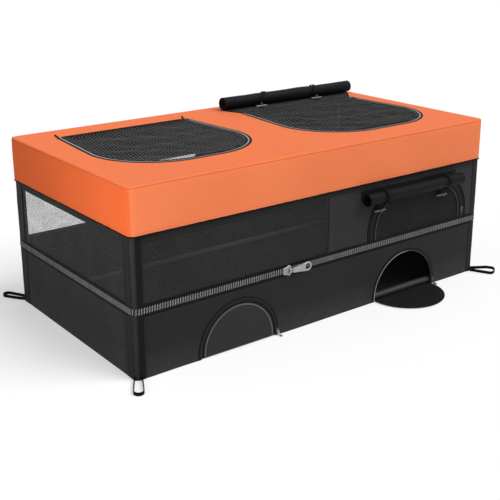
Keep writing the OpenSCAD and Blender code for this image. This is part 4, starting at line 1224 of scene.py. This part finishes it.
for side, window in windows.items():
    body, label = "roof_door_" + side, side.title()
    hinge, rim = roofDoor["hinge"], roofDoor["rim"]
    edges = (windowSections(window, doorEdge + k, hinge + k) for k in (rim, 0.0))
    flat = between(*edges, (80, 110, 80, 90), roofDoor["rows"])
    grid = atHeight(flat, roofDoor["top"] - roofDoor["fall"])
    addPiece("roofDoorBinding" + label, patch(grid), body, bindCloth, ["roof_rim_" + side],
             roofDoor["thick"], upward, 60)
    half, y, z = window["wide"] / 2 - window["draw"] - doorEdge, window["back"] - hinge, roofDoor["top"]
    bead = barBetween((window["x"] - half, y, z), (window["x"] + half, y, z), roofDoor["bead"])
    addPiece("roofDoorBead" + label, bead, body, darkPiping)
    addPiece("roofMesh" + label, roofNet(side, window), body, roofYarn, ["roof_mesh_" + side])
    outerLine, innerLine = (resample(windowLine(window, roofZip[k], 0.0), 220) for k in ("outer", "inner"))
    grid = atHeight(across(outerLine, innerLine, roofZip["rows"]), heights["roof"] + roofZip["out"])
    addPiece("roofZipTape" + label, patch(grid), "cover", roofTape, ["roof_zip_" + side],
             roofZip["thick"], upward, 60)
    line = atHeight(resample(windowLine(window, roofZip["teeth"], 0.0), 700), heights["roof"] + 0.45)
    teeth = coil(line, upward, **roofZip["coil"])
    addPiece("roofZipCoil" + label, teeth, "cover", coilPale, sharp=80)
    line = atHeight(resample(windowLine(window, roofZip["rim"], 0.0), 220), heights["roof"] + 0.3)
    addPiece("roofZipRim" + label, sweep(line, strap(5.2, 0.8)), "cover", darkPiping, sharp=80)

zipTail = {"inset": 2.5, "start": -2, "long": 16, "splay": 3, "z": 395.45, "lift": 1.6, "cord": (0.55, 1.35),
           "strap": (4.6, 0.9)}


def zipTails(window):
    # tape ends that run on past the back corners, each with a cord that is thin where the slider passes
    made, t = [], np.linspace(0, 1, 14)
    for sign in (-1, 1):
        foot = window["x"] + sign * (window["wide"] / 2 - window["draw"] - zipTail["inset"])
        path = np.stack([foot + sign * zipTail["splay"] * t ** 2,
                         window["back"] + zipTail["start"] + zipTail["long"] * t,
                         zipTail["z"] + zipTail["lift"] * t ** 2], -1)
        r = zipTail["cord"][0] + zipTail["cord"][1] * ramp(t, 0.5, 0.35)
        made += [sweep(path, strap(*zipTail["strap"])), sweep(path + spanned((r - 0.5, upward)), circle(r))]
    return join(*made)


addPiece("roofZipTails", zipTails(windows["left"]), "cover", tapeCloth, ["roof_zip_left"],
         sharp=60)
roofClasp = {"a": roofZip["teeth"], "z": 18.0, "low": 0.0, "wide": 5.7, "high": 12.0, "tabWide": 3.0,
             "tabHigh": 10.0}


def roofSlider(window):
    # a clasp over the zip's side, turned with its lean, with a web in the gap beside the door
    lean = math.atan(window["draw"] / (window["deep"] - window["radius"]))
    web = plate(block(0.5, roofClasp["high"]), -3.2, 0.4, 0.1, 5.5, roofClasp["z"])
    points, faces = join(smallSlider(**roofClasp), web)
    u, v, h = points[:, 0], points[:, 2], -points[:, 1] - walls["front"][2]
    x = window["draw"] - window["wide"] / 2 + u * math.cos(lean) - v * math.sin(lean)
    y = u * math.sin(lean) + v * math.cos(lean)
    return np.stack([window["x"] - x, window["back"] - y, heights["roof"] + 1.3 + h], -1), faces


for side, window in windows.items():
    body = "roof_slider_" + side
    addPiece("roofSliderBody" + side.title(), roofSlider(window), body, plastic, [body],
             sharp=35)
print("roof doors")


# Rolled shades, ties and toggles

shades = {
    "roof": {"x": (54.0, 487.0), "origin": (0, 150.6, 395.0), "down": (0, 1, 0), "off": (0, 0, 1),
             "middle": 61.4, "turns": 4.1, "core": 5.0, "taper": (19.0, 47.0), "ties": (152.0, 340.0),
             "lean": (36.0, 18.0), "reach": 37.0, "way": -1, "first": 0.4},
    "window": {"x": (96.0, 411.0), "origin": (0, -261.0, 281.0), "down": (0, 0, -1), "off": (0, -1, 0),
               "middle": 16.5, "turns": 2.3, "core": 8.0, "taper": (0.0, 0.0), "ties": (150.0, 357.0),
               "lean": (0.0, 0.0), "reach": 36.0, "way": 1, "first": -1.0},
}
roll = {"radius": 16.2, "height": 17.4, "thick": 0.9, "pinch": 1.1, "pinchWide": 8, "dent": 0.35, "slip": 3.0}
tie = {"radius": 17.3, "thick": 1.1, "wide": 9.0, "cord": 1.35, "post": (1.5, 11.5), "knot": 0.95,
       "knotHeight": 12.6, "knotSize": (0.72, 1.1)}
toggle = {"half": 18, "radius": 2.6, "height": 6.4}


def onShade(shade, x, t, h):
    # x along the roll, t away from the sewn edge, h off the surface
    x, t, h = np.broadcast_arrays(x, t, h)
    return spanned((x, (1, 0, 0)), (np.ones(x.shape), shade["origin"]), (t, shade["down"]), (h, shade["off"]))


def shadeSheet(shade, seed):
    # cloth that runs from its sewn edge to under the roll, then winds up as a spiral of falling radius
    (low, high), middle = shade["x"], shade["middle"]
    x = np.concatenate([[low, low + 0.6, low + 2], np.linspace(low + 5, high - 5, 120),
                        [high - 2, high - 0.6, high]])
    turn = np.linspace(0, tau * shade["turns"], int(30 * shade["turns"]))
    a, b = spread(x, turn)
    share = b / turn[-1]
    tieMiddles = np.add(shade["ties"], np.multiply(0.7, shade["lean"]))
    pinch = sum(bell(a - t, roll["pinchWide"]) for t in tieMiddles)
    r = roll["radius"] - (roll["radius"] - shade["core"]) * share - roll["pinch"] * pinch * (1 - 0.6 * share)
    r = r - roll["dent"] * (1 + ripple(a, 9 * b, seed, 40, 160)) * (b > 0.6)
    end = (2 * (a - low) / (high - low) - 1) ** 9
    slip = roll["slip"] * np.sin(0.9 * b + seed) * share * end
    along = a - np.abs(slip) * np.sign(end)
    wound = onShade(shade, along, middle + r * np.sin(b), roll["height"] - r * np.cos(b))
    run = np.linspace(0, middle, 12)[:-1]
    a, b = spread((x - low) / (high - low), 1 - run / middle)
    a = low + shade["taper"][0] * b + a * (high - low - sum(shade["taper"]) * b)
    lift = shade["first"] + (roll["height"] - roll["radius"] - shade["first"]) * (run / middle) ** 1.5
    return np.concatenate([onShade(shade, a, run, lift), wound], 1)


def tieStrap(shade, x, lean):
    # over the roll from its far side, slanting down its near side, and flat on to the toggle
    t = np.radians(np.linspace(-128, 128, 40))
    over = np.stack([tie["radius"] * np.sin(t), roll["height"] + tie["radius"] * np.cos(t)], -1)
    tongue = [[16.5, 4.2], [20, 2.4], [26, 1.9], [shade["reach"] + 5, 1.9]]
    slant = np.concatenate([lean * (1 - np.clip(t / t[-1], 0, 1)), np.zeros(len(tongue))])
    down, off, along = resample(np.column_stack([np.concatenate([over, tongue]), slant]), 90).T
    path = onShade(shade, x + along, shade["middle"] + shade["way"] * down, off)
    return sweep(path, strap(tie["thick"], tie["wide"]), (1, 0, 0))


def tieCord(shade, x):
    # the cord up through the toggle with a three-lobed knot on it
    t = shade["middle"] + shade["way"] * shade["reach"]
    post = onShade(shade, x, t, np.linspace(*tie["post"], 8))
    k = np.linspace(0, tau, 60, endpoint=False)
    u, v, w = np.sin(k) + 2 * np.sin(2 * k), np.cos(k) - 2 * np.cos(2 * k), -np.sin(3 * k)
    wide, high = tie["knotSize"]
    knot = onShade(shade, x + wide * u, t + wide * v, tie["knotHeight"] + high * w)
    knot = sweep(knot, circle(tie["knot"], 8), shade["off"], True)
    return join(sweep(post, circle(tie["cord"]), (1, 0, 0)), knot)


def toggleBar(shade, x):
    # a spindle: full in the middle, tapering to blunt round ends, with a waist for the cord and two rings
    t = np.linspace(-1, 1, 61)
    away = np.abs(t)
    r = toggle["radius"] * (1 - 0.4 * away ** 3) * np.sqrt(np.clip(1 - ramp(away, 0.93, 0.07) ** 2, 0.03, 1))
    r = r - 0.5 * bell(t, 0.1) - 0.3 * bell(away - 0.62, 0.04)
    down = shade["middle"] + shade["way"] * shade["reach"]
    line = onShade(shade, x + toggle["half"] * t, down, toggle["height"])
    return sweep(line, circle(r, 20), (0, 0.6, 0.8))


for k, (name, shade) in enumerate(shades.items()):
    grid = shadeSheet(shade, 140 + k)
    wide = np.linalg.norm(np.diff(grid[60], axis=0), axis=1).sum()
    long = shade["x"][1] - shade["x"][0]
    piece = addPiece(name + "ShadeRoll", patch(grid), "cover", shadeCloth, [name + "_shade"],
                     roll["thick"], sharp=50)
    print(name, "shade, flat:", round(long), "by", round(wide))
    long * mm
    name + "_ties"
    straps = [tieStrap(shade, x, lean) for x, lean in zip(shade["ties"], shade["lean"])]
    addPiece(name + "TieStraps", join(*straps), "cover", webCloth, [name + "_ties"], sharp=60)
    cords = [tieCord(shade, x) for x in shade["ties"]]
    addPiece(name + "TieCords", join(*cords), "cover", cordCloth, sharp=80)
    for side, x in zip(("left", "right"), shade["ties"]):
        body = "toggle_" + name + "_" + side
        addPiece(name + "Toggle" + side.title(), toggleBar(shade, x), body, togglePlastic,
                 [body], sharp=60)

hem = {"place": (257.0, 150.6, 396.5), "wide": 460.0, "deep": 52.0,
       "shape": np.array([[74.0, 1.0], [440.0, 1.0], [484.0, 50.0], [57.0, 50.0]])}


def placeHemNet(u, v, w):
    # flat on the shade's hem
    return np.stack([u, v, w], -1) + hem["place"]


hemNet = hexNet(roofKnit["right"], hem["wide"], hem["deep"], placeHemNet, hem["shape"] - [hem["place"][0], 0])
addPiece("roofHemNet", hemNet, "cover", roofYarn)
print("shades, ties, toggles")


# Floor, light and camera

stage = {"size": 30.0, "floor": -0.0004, "seen": 0.97, "bounce": 0.6, "shadow": 0.56, "sky": 0.44}
white = (1, 1, 1, 1)
mesh = bpy.data.meshes.new("studioFloor")
mesh.from_pydata(atHeight(stage["size"] / 2 * unitSquare, stage["floor"]).tolist(), [], [(0, 1, 2, 3)])
floor = bpy.data.objects.new("studioFloor", mesh)
scene.collection.objects.link(floor)


def seenDirectly(tree):
    # one for rays from the camera, or by reflection or through clear pieces
    first, *others = (nodeValue(tree, "ShaderNodeLightPath", out="Is " + k + " Ray")
                      for k in ("Camera", "Glossy", "Transmission"))
    for other in others:
        first = first.most(other)
    return first


paper, shader, place = newMaterial("palePaper")
tree = place.tree
tree.nodes.remove(shader)
seen = seenDirectly(tree)
pale = seen.blend((stage["bounce"],) * 3, (stage["seen"],) * 3)
lit = nodeValue(tree, "ShaderNodeBsdfDiffuse", {"Color": pale})
glow = nodeValue(tree, "ShaderNodeEmission", {"Color": white, "Strength": 1.0})
mixed = nodeValue(tree, "ShaderNodeMixShader", {0: seen * (1 - stage["shadow"]), 1: lit, 2: glow})
feed(tree.nodes["Material Output"].inputs["Surface"], mixed)
mesh.materials.append(paper)

scene.world = bpy.data.worlds.new("studioSky")
scene.world.use_nodes = True
tree = scene.world.node_tree
tree.nodes.clear()
soft, bright = (nodeValue(tree, "ShaderNodeBackground", {"Color": white, "Strength": k})
                for k in (stage["sky"], 1.0))
mixed = nodeValue(tree, "ShaderNodeMixShader", {0: seenDirectly(tree), 1: soft, 2: bright})
nodeValue(tree, "ShaderNodeOutputWorld", {"Surface": mixed})


def setUp(name, data, place, aim):
    # a lamp or camera at its place, turned to its aim
    holder = bpy.data.objects.new(name, data)
    scene.collection.objects.link(holder)
    x, y, z = np.array(aim, float) - np.array(place, float)
    holder.location = place
    holder.rotation_euler = (math.acos(-z / math.hypot(x, y, z)), 0, math.atan2(y, x) - math.pi / 2)
    return holder


def addLamp(name, kind, place, aim, power, **settings):
    # a lamp with its power and settings
    lamp = bpy.data.lights.new(name, kind)
    for key, value in (("energy", power), *settings.items()):
        setattr(lamp, key, value)
    setUp(name, lamp, place, aim)


lamps = {
    "highSun": {"kind": "SUN", "place": (0.35, -0.5, 0.8), "aim": (0, 0, 0), "power": 2.48,
                "angle": math.radians(40)},
    "nearBox": {"kind": "AREA", "place": (-1.25, -0.5, 0.42), "aim": (-0.5, -0.24, 0.36), "power": 0.55,
                "shape": "DISK", "size": 0.3, "spread": math.radians(64)},
}
for name, lamp in lamps.items():
    addLamp(name, **lamp)

camera = {"place": (-1.3124, -1.6995, 0.8645), "aim": (0.0, 0.0, 0.1975), "lens": 67.12, "sensor": 36.0,
          "shift": (-0.0132, -0.0845)}
view = bpy.data.cameras.new("photoView")
view.lens, view.sensor_width = camera["lens"], camera["sensor"]
view.shift_x, view.shift_y = camera["shift"]
scene.camera = setUp("photoView", view, camera["place"], camera["aim"])
scene.view_settings.view_transform = "Standard"
print("floor, lamps, camera")
